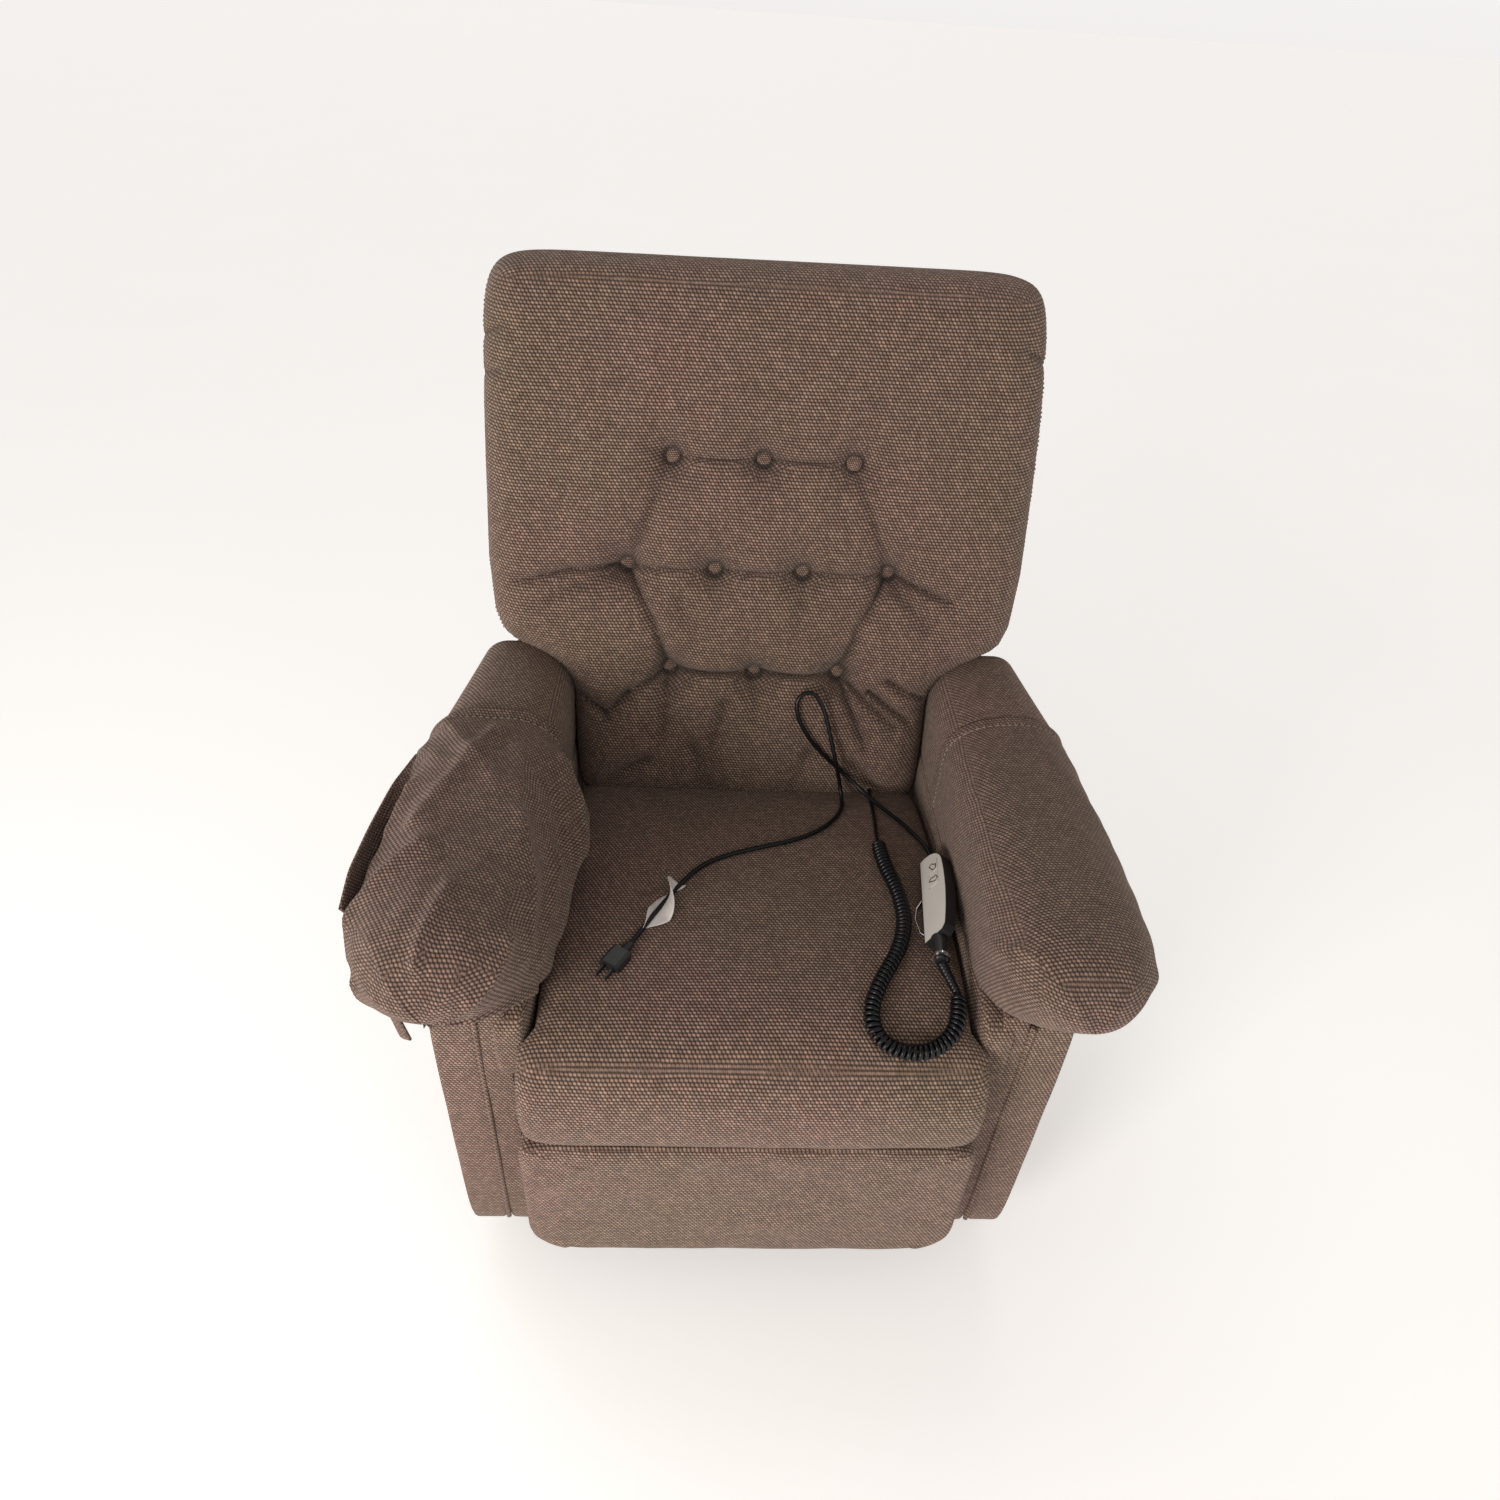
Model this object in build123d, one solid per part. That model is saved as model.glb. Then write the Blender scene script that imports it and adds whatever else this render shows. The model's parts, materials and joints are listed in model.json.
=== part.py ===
from build123d import *
import os
from math import atan2, cos, degrees, hypot, radians, sin, tan

# Button-back lift recliner chair with a handset.
# Frame: +X is the sitter's left (to the right seen from the front), +Y is towards the back,
# +Z is up, and the origin is on the floor under the middle of the chair. Sizes are in mm.

# ---------------------------------------------------------------- driving dimensions
CREASE_Y = 110.0            # where the back meets the seat
CREASE_Z = 443.0
FRONT_Y = -431.0            # front of the footrest panel, the seat and the arm rolls
ARM_HALF = 432.0            # widest point of the arms from the middle
ARM_INNER = 252.0           # inner face of the arms
ARM_TOP = 652.0
ARM_FRONT_Y = -425.0
ARM_REAR_Y = 165.0
POST_FRONT_Y = -360.0
POST_INNER = 289.0
POST_OUTER = 366.0
SKIRT_Z = 46.0              # lower edge of the upholstered sides
SEAT_HALF = 238.0
SEAT_FRONT_HALF = 268.0
DECK_Z = 402.0              # underside of the seat cushion
BACK_LEAN = 15.73           # degrees from the vertical
BACK_AXIS_Y = CREASE_Y + 20.5
BACK_HEIGHT = 706.0
BACK_HALF = 352.0           # half width above the arms
BACK_LOWER_HALF = 232.0     # half width between the arms
WING_S = 225.0              # height up the back where it widens over the arms
CUSHION_FRONT = 76.0        # depth of the cushion in front of the back's datum plane
FRAME_FRONT = -85.0
FRAME_REAR = -110.0
COVER_REAR = -119.0
BUTTON_SPACING = 118.4
BUTTON_ROWS = ((182.4, 3), (327.0, 4), (472.2, 3))
BUTTON_RADIUS = 10.5
BUTTON_DEPTH = 6.0

# Lift linkage: main arm from P to Q, guide link from P2 to Q2, all as (y, z).
LIFT_P = (-230.0, 95.0)
LIFT_Q = (170.0, 95.0)
GUIDE_P = (-270.5, 81.5)
GUIDE_Q = (10.0, 70.0)
CRANK_PIN = (-203.8, 186.3)
ACTUATOR_PIVOT = (270.0, 75.0)
TORQUE_TUBE = (-250.0, 152.0)

# Footrest scissor: link A hangs from PIVOT, link B carries the board at its front end.
LINK_LENGTH = 240.0
FOLDED_ANGLE = 68.0
SCISSOR_PIVOT = (-250.0, 310.0)
PANEL_HALF = 273.0
PANEL_BOTTOM = 84.0
PANEL_TOP = 322.0
PANEL_THICK = 38.0
BOARD_THICK = 12.0

BACK_PIVOT = (190.0, 400.0)
PIN_RADIUS = 5.0
RUNNING = 0.05              # radial clearance of a pin in a link
OPEN_PIVOT = 0.9            # radial play where the four-bar closes

# Layers across the chair, as distances from the middle.
RAIL_IN = 215.0
TUBE = 38.0
PLATE_LAYER = (239.0, 244.0)
BOARD_BRACKET_LAYER = (239.0, 243.4)
LINK_B_LAYER = (232.5, 237.5)
LINK_A_LAYER = (226.0, 231.0)
BASE_BRACKET_LAYER = (209.0, 215.0)
LIFT_ARM_LAYER = (199.0, 207.0)
GUIDE_LAYER = (189.0, 196.0)
CARRIAGE_LAYER = (180.0, 186.0)

MAINS_DIAMETER = 6.0
LEAD_DIAMETER = 5.4
COIL_DIAMETER = 20.0


# ---------------------------------------------------------------- helpers
def block(x0, x1, y0, y1, z0, z1):
    return Pos((x0 + x1) / 2, (y0 + y1) / 2, (z0 + z1) / 2) * Box(x1 - x0, y1 - y0, z1 - z0)


def across(x0, x1, face):
    """Extrude a face drawn in the (y, z) plane from x0 to x1."""
    return extrude(Plane.YZ.offset(x0) * face, amount=x1 - x0)


def disc(point, radius):
    return Pos(point[0], point[1]) * Circle(radius)


def strip(start, end, half):
    """A bar with round ends, seen from the side."""
    run = hypot(end[0] - start[0], end[1] - start[1])
    turn = degrees(atan2(end[1] - start[1], end[0] - start[0]))
    middle = Pos((start[0] + end[0]) / 2, (start[1] + end[1]) / 2)
    return disc(start, half) + disc(end, half) + middle * Rot(0, 0, turn) * Rectangle(run, 2 * half)


def outline(*points):
    return make_face(Polyline(*points, close=True))


def both_sides(*shapes):
    """The shapes, and their mirror images on the other side of the chair."""
    solids = [s for shape in shapes for s in shape.solids()]
    return Compound(children=solids + [mirror(s, about=Plane.YZ) for s in solids])


def on_side(shape, side):
    """A shape drawn on the right, or its mirror image on the left."""
    if side == "left":
        return mirror(shape, about=Plane.YZ)
    return shape


def group(*shapes):
    return Compound(children=[s for shape in shapes for s in shape.solids()])


def pivot_pin(inner, outer, point, radius=PIN_RADIUS):
    """A shouldered pin: its head sits at the inner end."""
    shank = across(inner, outer, disc(point, radius))
    head = across(inner - 2.5, inner, disc(point, radius + 4))
    return shank + head


def save(name, shape):
    shape.label = name
    export_step(shape, "parts/" + name + ".step")


def up_back(s, n, x=0.0):
    """A point on the back: s up its length, n in front of its datum plane."""
    lean = radians(BACK_LEAN)
    return (x, BACK_AXIS_Y + s * sin(lean) - n * cos(lean), CREASE_Z + s * cos(lean) + n * sin(lean))


BACK_PLANE = Plane(origin=up_back(0, 0), x_dir=(1, 0, 0),
                   z_dir=(0, -cos(radians(BACK_LEAN)), sin(radians(BACK_LEAN))))


def route_tube(points, diameter):
    """A round tube along straight runs joined by tangent arcs, and the radii of the arcs."""
    places = [Vector(*point) for point in points]
    radii = []
    for before, here, after in zip(places, places[1:], places[2:]):
        run_in = here - before
        run_out = after - here
        half_turn = radians(run_in.get_angle(run_out)) / 2
        radii.append(0.45 * min(run_in.length, run_out.length) / tan(half_turn))
    path = FilletPolyline(*points, radius=radii)
    start = Plane(origin=path @ 0, z_dir=path % 0)
    tube = sweep(start * Circle(diameter / 2), path=path)
    section = 3.14159 * diameter ** 2 / 4
    print("tube length", round(path.length), "volume ratio", round(tube.volume / section / path.length, 4),
          "radii", [round(radius) for radius in radii])
    return tube


# ---------------------------------------------------------------- base on the floor
def base_side_rails():
    rail = block(RAIL_IN, RAIL_IN + TUBE, -330, 330, 12, 12 + TUBE)
    bore = block(RAIL_IN + 2, RAIL_IN + TUBE - 2, -330, 330, 14, 10 + TUBE)
    return both_sides(rail - bore)


def base_cross_tubes():
    tubes = []
    for y in (-311.0, 311.0):
        tube = block(-RAIL_IN, RAIL_IN, y - TUBE / 2, y + TUBE / 2, 12, 12 + TUBE)
        bore = block(-RAIL_IN, RAIL_IN, y - TUBE / 2 + 2, y + TUBE / 2 - 2, 14, 10 + TUBE)
        tubes.append(tube - bore)
    return group(*tubes)


def rail_end_caps():
    middle = RAIL_IN + TUBE / 2
    caps = []
    for y, side in ((-330, -1), (330, 1)):
        cap = Pos(middle, y + side * 1.5, 12 + TUBE / 2) * Box(TUBE - 0.4, 3, TUBE - 0.4)
        plug = Pos(middle, y - side * 6, 12 + TUBE / 2) * Box(TUBE - 4.4, 12, TUBE - 4.4)
        caps.append(cap + plug)
    return both_sides(*caps)


def floor_glides():
    middle = RAIL_IN + TUBE / 2
    feet = []
    for y in (-300, 300):
        foot = Pos(middle, y, 6) * Cylinder(20, 12)
        feet.append(chamfer(foot.edges().group_by(Axis.Z)[0], 2))
    return both_sides(*feet)


def base_pivot_brackets():
    face = outline((-291, 14), (-190, 14), (-190, 40), (-208, 112), (-252, 112), (-288, 100))
    face = face - disc(LIFT_P, PIN_RADIUS + 2) - disc(GUIDE_P, PIN_RADIUS)
    return both_sides(across(*BASE_BRACKET_LAYER, face))


def base_pivot_pins():
    main = pivot_pin(LIFT_ARM_LAYER[0] - 0.4, BASE_BRACKET_LAYER[1], LIFT_P, PIN_RADIUS + 2)
    guide = pivot_pin(GUIDE_LAYER[0] - 0.4, BASE_BRACKET_LAYER[1], GUIDE_P)
    return both_sides(main, guide)


def actuator_base_bracket():
    face = outline((292, 16), (292, 48), (278, 92), (262, 92), (254, 70), (268, 40)) - disc(ACTUATOR_PIVOT, 6)
    return both_sides(across(20, 25, face))


def actuator_base_pin():
    pin = across(-25, 25, disc(ACTUATOR_PIVOT, 6))
    head = across(25, 29, disc(ACTUATOR_PIVOT, 10))
    clip = across(-28, -25, disc(ACTUATOR_PIVOT, 9))
    return pin + head + clip


# ---------------------------------------------------------------- lift linkage
def lift_arms():
    face = strip(LIFT_P, LIFT_Q, 15) + strip(LIFT_P, TORQUE_TUBE, 15)
    face = face - disc(LIFT_P, PIN_RADIUS + 2 + RUNNING) - disc(LIFT_Q, PIN_RADIUS + 2 + RUNNING)
    return both_sides(across(*LIFT_ARM_LAYER, face))


def lift_torque_tube():
    reach = LIFT_ARM_LAYER[0]
    return across(-reach, reach, disc(TORQUE_TUBE, 12) - disc(TORQUE_TUBE, 9.5))


def lift_crank():
    face = strip(TORQUE_TUBE, CRANK_PIN, 13) - disc(TORQUE_TUBE, 12) - disc(CRANK_PIN, 6)
    lugs = both_sides(across(14, 20, face))
    pin = across(-20, 20, disc(CRANK_PIN, 6)) + across(20, 24, disc(CRANK_PIN, 10))
    return group(lugs, pin)


def guide_links():
    face = strip(GUIDE_P, GUIDE_Q, 11)
    face = face - disc(GUIDE_P, PIN_RADIUS + RUNNING) - disc(GUIDE_Q, PIN_RADIUS + OPEN_PIVOT)
    return both_sides(across(*GUIDE_LAYER, face))


# ---------------------------------------------------------------- lift actuator
ACTUATOR_RUN = hypot(CRANK_PIN[0] - ACTUATOR_PIVOT[0], CRANK_PIN[1] - ACTUATOR_PIVOT[1])
ACTUATOR_TURN = degrees(atan2(CRANK_PIN[1] - ACTUATOR_PIVOT[1], CRANK_PIN[0] - ACTUATOR_PIVOT[0]))
# Local X runs along the rod, local Z across the chair.
ACTUATOR = Plane.YZ * Pos(*ACTUATOR_PIVOT) * Rot(0, 0, ACTUATOR_TURN)


def along(radius, start, end, offset=(0.0, 0.0)):
    """A cylinder along the actuator, from start to end of its length."""
    place = Pos((start + end) / 2, offset[0], offset[1]) * Rot(0, 90, 0)
    return ACTUATOR * place * Cylinder(radius, end - start)


def actuator_gear_housing():
    body = Pos(48, 8, 0) * Box(48, 62, 44)
    body = fillet(body.edges().filter_by(Axis.Z), 9)
    eye = Cylinder(13, 38) + Pos(13, 0, 0) * Box(26, 26, 38)
    return ACTUATOR * (body + eye - Cylinder(6 + RUNNING, 60))


def actuator_motor():
    return along(21, 72, 168, (41.5, 0)) + along(10, 168, 174, (41.5, 0))


def actuator_outer_tube():
    return along(19, 72.0, 320) - along(10.1, 100, 330)


def actuator_end_cap():
    return along(21, 320, 332) - along(10.1, 310, 340)


def actuator_rod():
    return along(10, 130, ACTUATOR_RUN - 24)


def actuator_rod_eye():
    """The eye's slot takes up the crank pin's rise between the two ends of its swing."""
    slot_middle = (ACTUATOR_RUN + 1.5, -3.7)
    body = Pos(ACTUATOR_RUN, -3, 0) * Box(48, 36, 24)
    body = fillet(body.edges().filter_by(Axis.Z), 10)
    slot = Pos(*slot_middle, 0) * (Box(16.5, 8, 30) + Pos(0, 4, 0) * Cylinder(8.2, 30)
                                   + Pos(0, -4, 0) * Cylinder(8.2, 30))
    return ACTUATOR * (body - slot)


# ---------------------------------------------------------------- carriage and seat box
def carriage_plates():
    face = outline((-12, 58), (24, 58), (60, 120), (150, 80), (188, 80), (214, 110), (214, 196),
                   (20, 196), (-12, 150))
    for hole in (disc(LIFT_Q, PIN_RADIUS + 2), disc(GUIDE_Q, PIN_RADIUS)):
        face = face - hole
    for y in (42.5, 197.5):
        face = face - Pos(y, 177.5) * Rectangle(25, 25)
    return both_sides(across(*CARRIAGE_LAYER, face))


def carriage_pins():
    solids = []
    pins = ((LIFT_Q, PIN_RADIUS + 2, LIFT_ARM_LAYER[1]), (GUIDE_Q, PIN_RADIUS, GUIDE_LAYER[1]))
    for point, radius, outer in pins:
        shank = across(CARRIAGE_LAYER[0], outer + 0.4, disc(point, radius))
        head = across(outer + 0.4, outer + 2.0, disc(point, radius + 4))
        solids.append(shank + head)
    return both_sides(*solids)


def carriage_cross_tubes():
    tubes = []
    for y in (42.5, 197.5):
        tube = Pos(0, y, 177.5) * (Box(2 * PLATE_LAYER[0], 25, 25) - Box(500, 21, 21))
        tubes.append(tube)
    return group(*tubes)


def mechanism_plates():
    face = outline((-264, 76), (-236, 76), (-236, 250), (15, 250), (30, 160), (212, 160), (222, 250),
                   (222, 345), (206, 412), (174, 412), (160, 345), (-264, 335))
    slot = outline((-255.2, 82), (-244.8, 82), (-244.8, 268), (-255.2, 268))
    face = face - slot - disc(SCISSOR_PIVOT, PIN_RADIUS) - disc(BACK_PIVOT, PIN_RADIUS + 1)
    return both_sides(across(*PLATE_LAYER, face))


def seat_side_rails():
    return both_sides(block(PLATE_LAYER[1], PLATE_LAYER[1] + 18, -340, 240, 300, 396))


def seat_cross_rails():
    half = PLATE_LAYER[1]
    front = block(-half, half, -340, -322, 342, 396)
    spring = block(-half, half, 96, 114, 350, 396)
    rear = block(-PLATE_LAYER[0], PLATE_LAYER[0], 222, 240, 290, 340)
    return group(front, spring, rear)


def rail_screws():
    """Hex screws that hold the wooden rails to the steel plates."""
    screws = []
    for y, z in ((-150, 320), (-20, 320), (100, 320), (190, 320)):
        head = Plane.YZ.offset(PLATE_LAYER[0] - 4) * Pos(y, z) * RegularPolygon(6.5, 6)
        screws.append(extrude(head, amount=4))
    return both_sides(*screws)


def seat_springs():
    """Sinuous springs stapled over the front and rear rails."""
    springs = []
    pitch = 26.0
    for x in (-180, -90, 0, 90, 180):
        points = [(x, -334, 398)]
        side = 1
        y = -334.0
        while y < 80:
            y += pitch
            points.append((x + side * 20, y, 398))
            side = -side
        points.append((x, 108, 398))
        path = FilletPolyline(*points, radius=10)
        start = Plane(origin=path @ 0, z_dir=path % 0)
        springs.append(sweep(start * Circle(1.9), path=path))
    return group(*springs)


def pivot_pins():
    link = across(LINK_A_LAYER[0] - 0.4, PLATE_LAYER[1], disc(SCISSOR_PIVOT, PIN_RADIUS))
    link_head = across(LINK_A_LAYER[0] - 3, LINK_A_LAYER[0] - 0.4, disc(SCISSOR_PIVOT, PIN_RADIUS + 4))
    back = across(231.0, PLATE_LAYER[1], disc(BACK_PIVOT, PIN_RADIUS + 1))
    back_head = across(228.6, 231.2, disc(BACK_PIVOT, PIN_RADIUS + 5))
    return both_sides(link + link_head, back + back_head)


def control_box():
    body = block(-150, -50, 96, 176, 250, 290)
    body = fillet(body.edges().filter_by(Axis.Z), 6)
    flange = block(-165, -35, 106, 166, 287, 290)
    return body + flange


def power_supply():
    body = block(50, 150, 96, 186, 240, 290)
    return fillet(body.edges().filter_by(Axis.Z), 8)


def control_tray():
    return block(-232, 232, 92, 192, 290, 293) - block(-200, -170, 100, 180, 280, 300)


# ---------------------------------------------------------------- footrest
def scissor_points(angle):
    reach = LINK_LENGTH * cos(radians(angle))
    drop = LINK_LENGTH * sin(radians(angle))
    y, z = SCISSOR_PIVOT
    return {"board": (y - reach, z), "a_end": (y - reach, z - drop), "b_end": (y, z - drop),
            "middle": (y - reach / 2, z - drop / 2)}


FOLDED = scissor_points(FOLDED_ANGLE)


def scissor_links_a():
    face = strip(SCISSOR_PIVOT, FOLDED["a_end"], 11)
    face = face - disc(SCISSOR_PIVOT, PIN_RADIUS + RUNNING) - disc(FOLDED["middle"], PIN_RADIUS)
    return both_sides(across(*LINK_A_LAYER, face))


def scissor_middle_pins():
    shank = across(LINK_A_LAYER[0], LINK_B_LAYER[1] + 0.3, disc(FOLDED["middle"], PIN_RADIUS))
    head = across(LINK_B_LAYER[1] + 0.3, LINK_B_LAYER[1] + 1.2, disc(FOLDED["middle"], PIN_RADIUS + 3))
    return both_sides(shank + head)


def scissor_torque_tube():
    """Joins the left and right links A, so both sides move together."""
    a_end = FOLDED["a_end"]
    share = 0.25
    middle = (SCISSOR_PIVOT[0] + share * (a_end[0] - SCISSOR_PIVOT[0]),
              SCISSOR_PIVOT[1] + share * (a_end[1] - SCISSOR_PIVOT[1]))
    reach = LINK_A_LAYER[0]
    return across(-reach, reach, disc(middle, 9) - disc(middle, 7))


def scissor_links_b():
    face = strip(FOLDED["b_end"], FOLDED["board"], 11)
    face = face - disc(FOLDED["middle"], PIN_RADIUS + RUNNING) - disc(FOLDED["board"], PIN_RADIUS)
    face = face - disc(FOLDED["b_end"], PIN_RADIUS - 1)
    return both_sides(across(*LINK_B_LAYER, face))


def slot_rollers():
    roller = across(LINK_B_LAYER[1] + 0.5, PLATE_LAYER[1] + 3, disc(FOLDED["b_end"], PIN_RADIUS))
    stem = across(LINK_B_LAYER[0], LINK_B_LAYER[1] + 0.5, disc(FOLDED["b_end"], PIN_RADIUS - 1))
    return both_sides(roller + stem)


def board_pins():
    shank = across(LINK_B_LAYER[0], BOARD_BRACKET_LAYER[1], disc(FOLDED["board"], PIN_RADIUS))
    head = across(LINK_B_LAYER[0] - 2.3, LINK_B_LAYER[0], disc(FOLDED["board"], PIN_RADIUS + 4))
    return both_sides(shank + head)


def footrest_board_y():
    return FRONT_Y + PANEL_THICK + BOARD_THICK


def footrest_brackets():
    y, z = FOLDED["board"]
    face = outline((footrest_board_y(), 190), (-362, 190), (y + 4, 300), (footrest_board_y(), z + 8))
    face = face + disc(FOLDED["board"], 12) - disc(FOLDED["board"], PIN_RADIUS + RUNNING)
    return both_sides(across(*BOARD_BRACKET_LAYER, face))


def footrest_panel_outline(half, bottom, top, radius):
    """Front view of the footrest panel, with round lower corners."""
    bottom_corners = Pos(0, (bottom + top) / 2) * Rectangle(2 * half, top - bottom)
    corners = bottom_corners.vertices().group_by(Axis.Y)[0]
    return fillet(corners, radius)


def footrest_board():
    face = footrest_panel_outline(PANEL_HALF - 8, PANEL_BOTTOM + 14, PANEL_TOP - 6, 26)
    plane = Plane.XZ.offset(-footrest_board_y())
    return extrude(plane * face, amount=BOARD_THICK)


def footrest_cushion():
    face = footrest_panel_outline(PANEL_HALF, PANEL_BOTTOM, PANEL_TOP, 30)
    plane = Plane.XZ.offset(-(FRONT_Y + PANEL_THICK))
    pad = extrude(plane * face, amount=PANEL_THICK)
    return fillet(pad.faces().sort_by(Axis.Y)[0].edges(), 14)


# ---------------------------------------------------------------- seat cushion and springs
def seat_profile():
    """Side view of the seat cushion, a waterfall at the front."""
    top = Spline((100, 446), (40, 461), (-60, 476), (-170, 483), (-270, 484), (-350, 474), (-405, 444),
                 (FRONT_Y + 2, 400))
    rest = Polyline((FRONT_Y + 2, 400), (FRONT_Y + 2, 342), (POST_FRONT_Y, 342), (-344, DECK_Z), (92, DECK_Z),
                    (100, 446))
    return make_face([top, rest])


def seat_cushion():
    profile = seat_profile()
    main = across(-SEAT_HALF, SEAT_HALF, profile)
    wide = across(-SEAT_FRONT_HALF, SEAT_FRONT_HALF, profile)
    front = wide & block(-300, 300, FRONT_Y - 10, POST_FRONT_Y - 4, 300, 500)
    return main + front


# ---------------------------------------------------------------- arms
def arm_section(grow=0.0):
    """Section across the right arm's roll, as (x, z)."""
    inner = ARM_INNER + 4 - grow
    outer = ARM_HALF - 4 + grow
    top = ARM_TOP - 4 + grow
    bottom = 484 - grow
    lines = [
        Line((inner, bottom), (inner, 570)),
        ThreePointArc((inner, 570), (inner + 26, top - 22), ((inner + outer) / 2, top)),
        ThreePointArc(((inner + outer) / 2, top), (outer - 20, top - 34), (outer, 585)),
        ThreePointArc((outer, 585), (outer - 13, 523), (POST_OUTER + 2 + grow, bottom)),
        Line((POST_OUTER + 2 + grow, bottom), (inner, bottom)),
    ]
    return make_face(lines)


def arm_plan(grow=0.0):
    """Plan view of the arm roll: round at the front, narrower towards the rear."""
    inner = ARM_INNER + 4 - grow
    outer = ARM_HALF - 4 + grow
    front = ARM_FRONT_Y - grow
    lines = [
        Line((inner, ARM_REAR_Y), (inner, front + 40)),
        ThreePointArc((inner, front + 40), (inner + 15, front + 12), (inner + 50, front)),
        Line((inner + 50, front), (outer - 95, front)),
        ThreePointArc((outer - 95, front), (outer - 26, front + 30), (outer, front + 100)),
        Line((outer, front + 100), (outer - 6, -80)),
        Line((outer - 6, -80), (outer - 34, ARM_REAR_Y)),
        Line((outer - 34, ARM_REAR_Y), (inner, ARM_REAR_Y)),
    ]
    return make_face(lines)


def arm_roll():
    section = extrude(Plane.XZ.offset(-ARM_REAR_Y) * arm_section(), amount=ARM_REAR_Y - ARM_FRONT_Y)
    plan = extrude(Pos(0, 0, 400) * arm_plan(), amount=300)
    return section & plan


def arm_cover():
    """Removable cap over the front two thirds of the roll, about 4 mm thick."""
    hem_y = 10.0
    outer = extrude(Plane.XZ.offset(-hem_y) * arm_section(4), amount=hem_y - FRONT_Y)
    outer = outer & extrude(Pos(0, 0, 400) * arm_plan(4), amount=300)
    inner = extrude(Plane.XZ.offset(-hem_y - 5) * arm_section(0.3), amount=hem_y - FRONT_Y)
    inner = inner & extrude(Pos(0, 0, 400) * arm_plan(0.3), amount=300)
    under = block(ARM_INNER + 6, POST_OUTER + 30, -350, 40, 470, 490)
    return outer - inner - under


def arm_panel():
    """Upholstered side below the roll: inner face, outer face and rear, round the wooden frame."""
    outer = block(326, POST_OUTER - 3, POST_FRONT_Y + 40, 300, SKIRT_Z, 470)
    inner = block(ARM_INNER + 12, 306, POST_FRONT_Y + 40, 236, 400, 470)
    rear = outline((175, 470), (300, 470), (300, 585), (240, 596), (175, 620))
    cap = across(ARM_INNER + 12, POST_OUTER - 3, rear)
    return outer, inner, cap


def arm_frame():
    board = outline((-318, 60), (290, 60), (290, 468), (-318, 468))
    window = outline((-240, 130), (200, 130), (200, 270), (-240, 270))
    return across(307, 325, board - window)


def front_post():
    post = block(POST_INNER, POST_OUTER, POST_FRONT_Y, POST_FRONT_Y + 38, SKIRT_Z, 480)
    return fillet(post.edges().filter_by(Axis.Z).group_by(Axis.Y)[0], 9)


def post_piping():
    """A welt cord down the front of the post."""
    return Pos(311, POST_FRONT_Y - 2.6, (SKIRT_Z + 480) / 2) * Cylinder(2.5, 480 - SKIRT_Z - 4)


def arm_spacer():
    """Wooden cleat between the seat box and the arm frame."""
    return both_sides(block(262, 307, -300, 220, 310, 340))


# ---------------------------------------------------------------- back
def back_lower_and_wings(lower, wing, top, corner):
    """Front view of the back in its own plane, as (x, s)."""
    body = Pos(0, top / 2 - 2) * Rectangle(2 * lower, top + 4)
    upper = Pos(0, (WING_S + top) / 2) * Rectangle(2 * wing, top - WING_S)
    upper = fillet(upper.vertices(), corner)
    return body + upper


def back_cushion():
    face = back_lower_and_wings(BACK_LOWER_HALF, BACK_HALF, BACK_HEIGHT, 60)
    slab = BACK_PLANE * extrude(Pos(0, 0, FRAME_FRONT) * face, amount=CUSHION_FRONT - FRAME_FRONT)
    front = [(0, 5), (34, 52), (110, 74), (300, CUSHION_FRONT), (520, 70), (640, 50), (690, 10),
             (BACK_HEIGHT, -40)]
    front_line = Spline(*[up_back(s, n)[1:] for s, n in front])
    corners = [(BACK_HEIGHT, -40), (BACK_HEIGHT - 6, FRAME_FRONT), (-4, FRAME_FRONT), (-4, -30), (0, 5)]
    rest_line = Polyline(*[up_back(s, n)[1:] for s, n in corners])
    profile = make_face([front_line, rest_line])
    return slab & across(-BACK_HALF, BACK_HALF, profile)


def back_frame():
    """Wooden frame: two stiles and three rails, with the wings over the arms."""
    depth = FRAME_FRONT - FRAME_REAR - 1.0
    pieces = []
    for side in (-1, 1):
        pieces.append(Pos(side * (BACK_LOWER_HALF - 21), 315) * Rectangle(42, 700))
        pieces.append(Pos(side * (BACK_HALF - 30), 455) * Rectangle(36, 380))
    for s, half in ((20, BACK_LOWER_HALF), (WING_S + 62, BACK_HALF - 12), (BACK_HEIGHT - 58, BACK_HALF - 12)):
        pieces.append(Pos(0, s) * Rectangle(2 * half, 50))
    face = pieces[0]
    for piece in pieces[1:]:
        face = face + piece
    return BACK_PLANE * extrude(Pos(0, 0, FRAME_REAR + 0.5) * face, amount=depth)


def back_rear_cover():
    face = back_lower_and_wings(BACK_LOWER_HALF, BACK_HALF - 2, BACK_HEIGHT - 14, 50)
    panel = extrude(Pos(0, 0, COVER_REAR) * face, amount=FRAME_REAR - COVER_REAR)
    return BACK_PLANE * panel


def back_buttons():
    """Ten fabric-covered buttons, pulled into the cushion."""
    solids = []
    for s, count in BUTTON_ROWS:
        for index in range(count):
            x = (index - (count - 1) / 2) * BUTTON_SPACING
            button = extrude(Pos(x, s, CUSHION_FRONT + 0.5) * Circle(BUTTON_RADIUS), amount=BUTTON_DEPTH)
            solids.append(BACK_PLANE * fillet(button.edges().sort_by(Axis.Z)[-1:], 2.5))
    return group(*solids)


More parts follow.
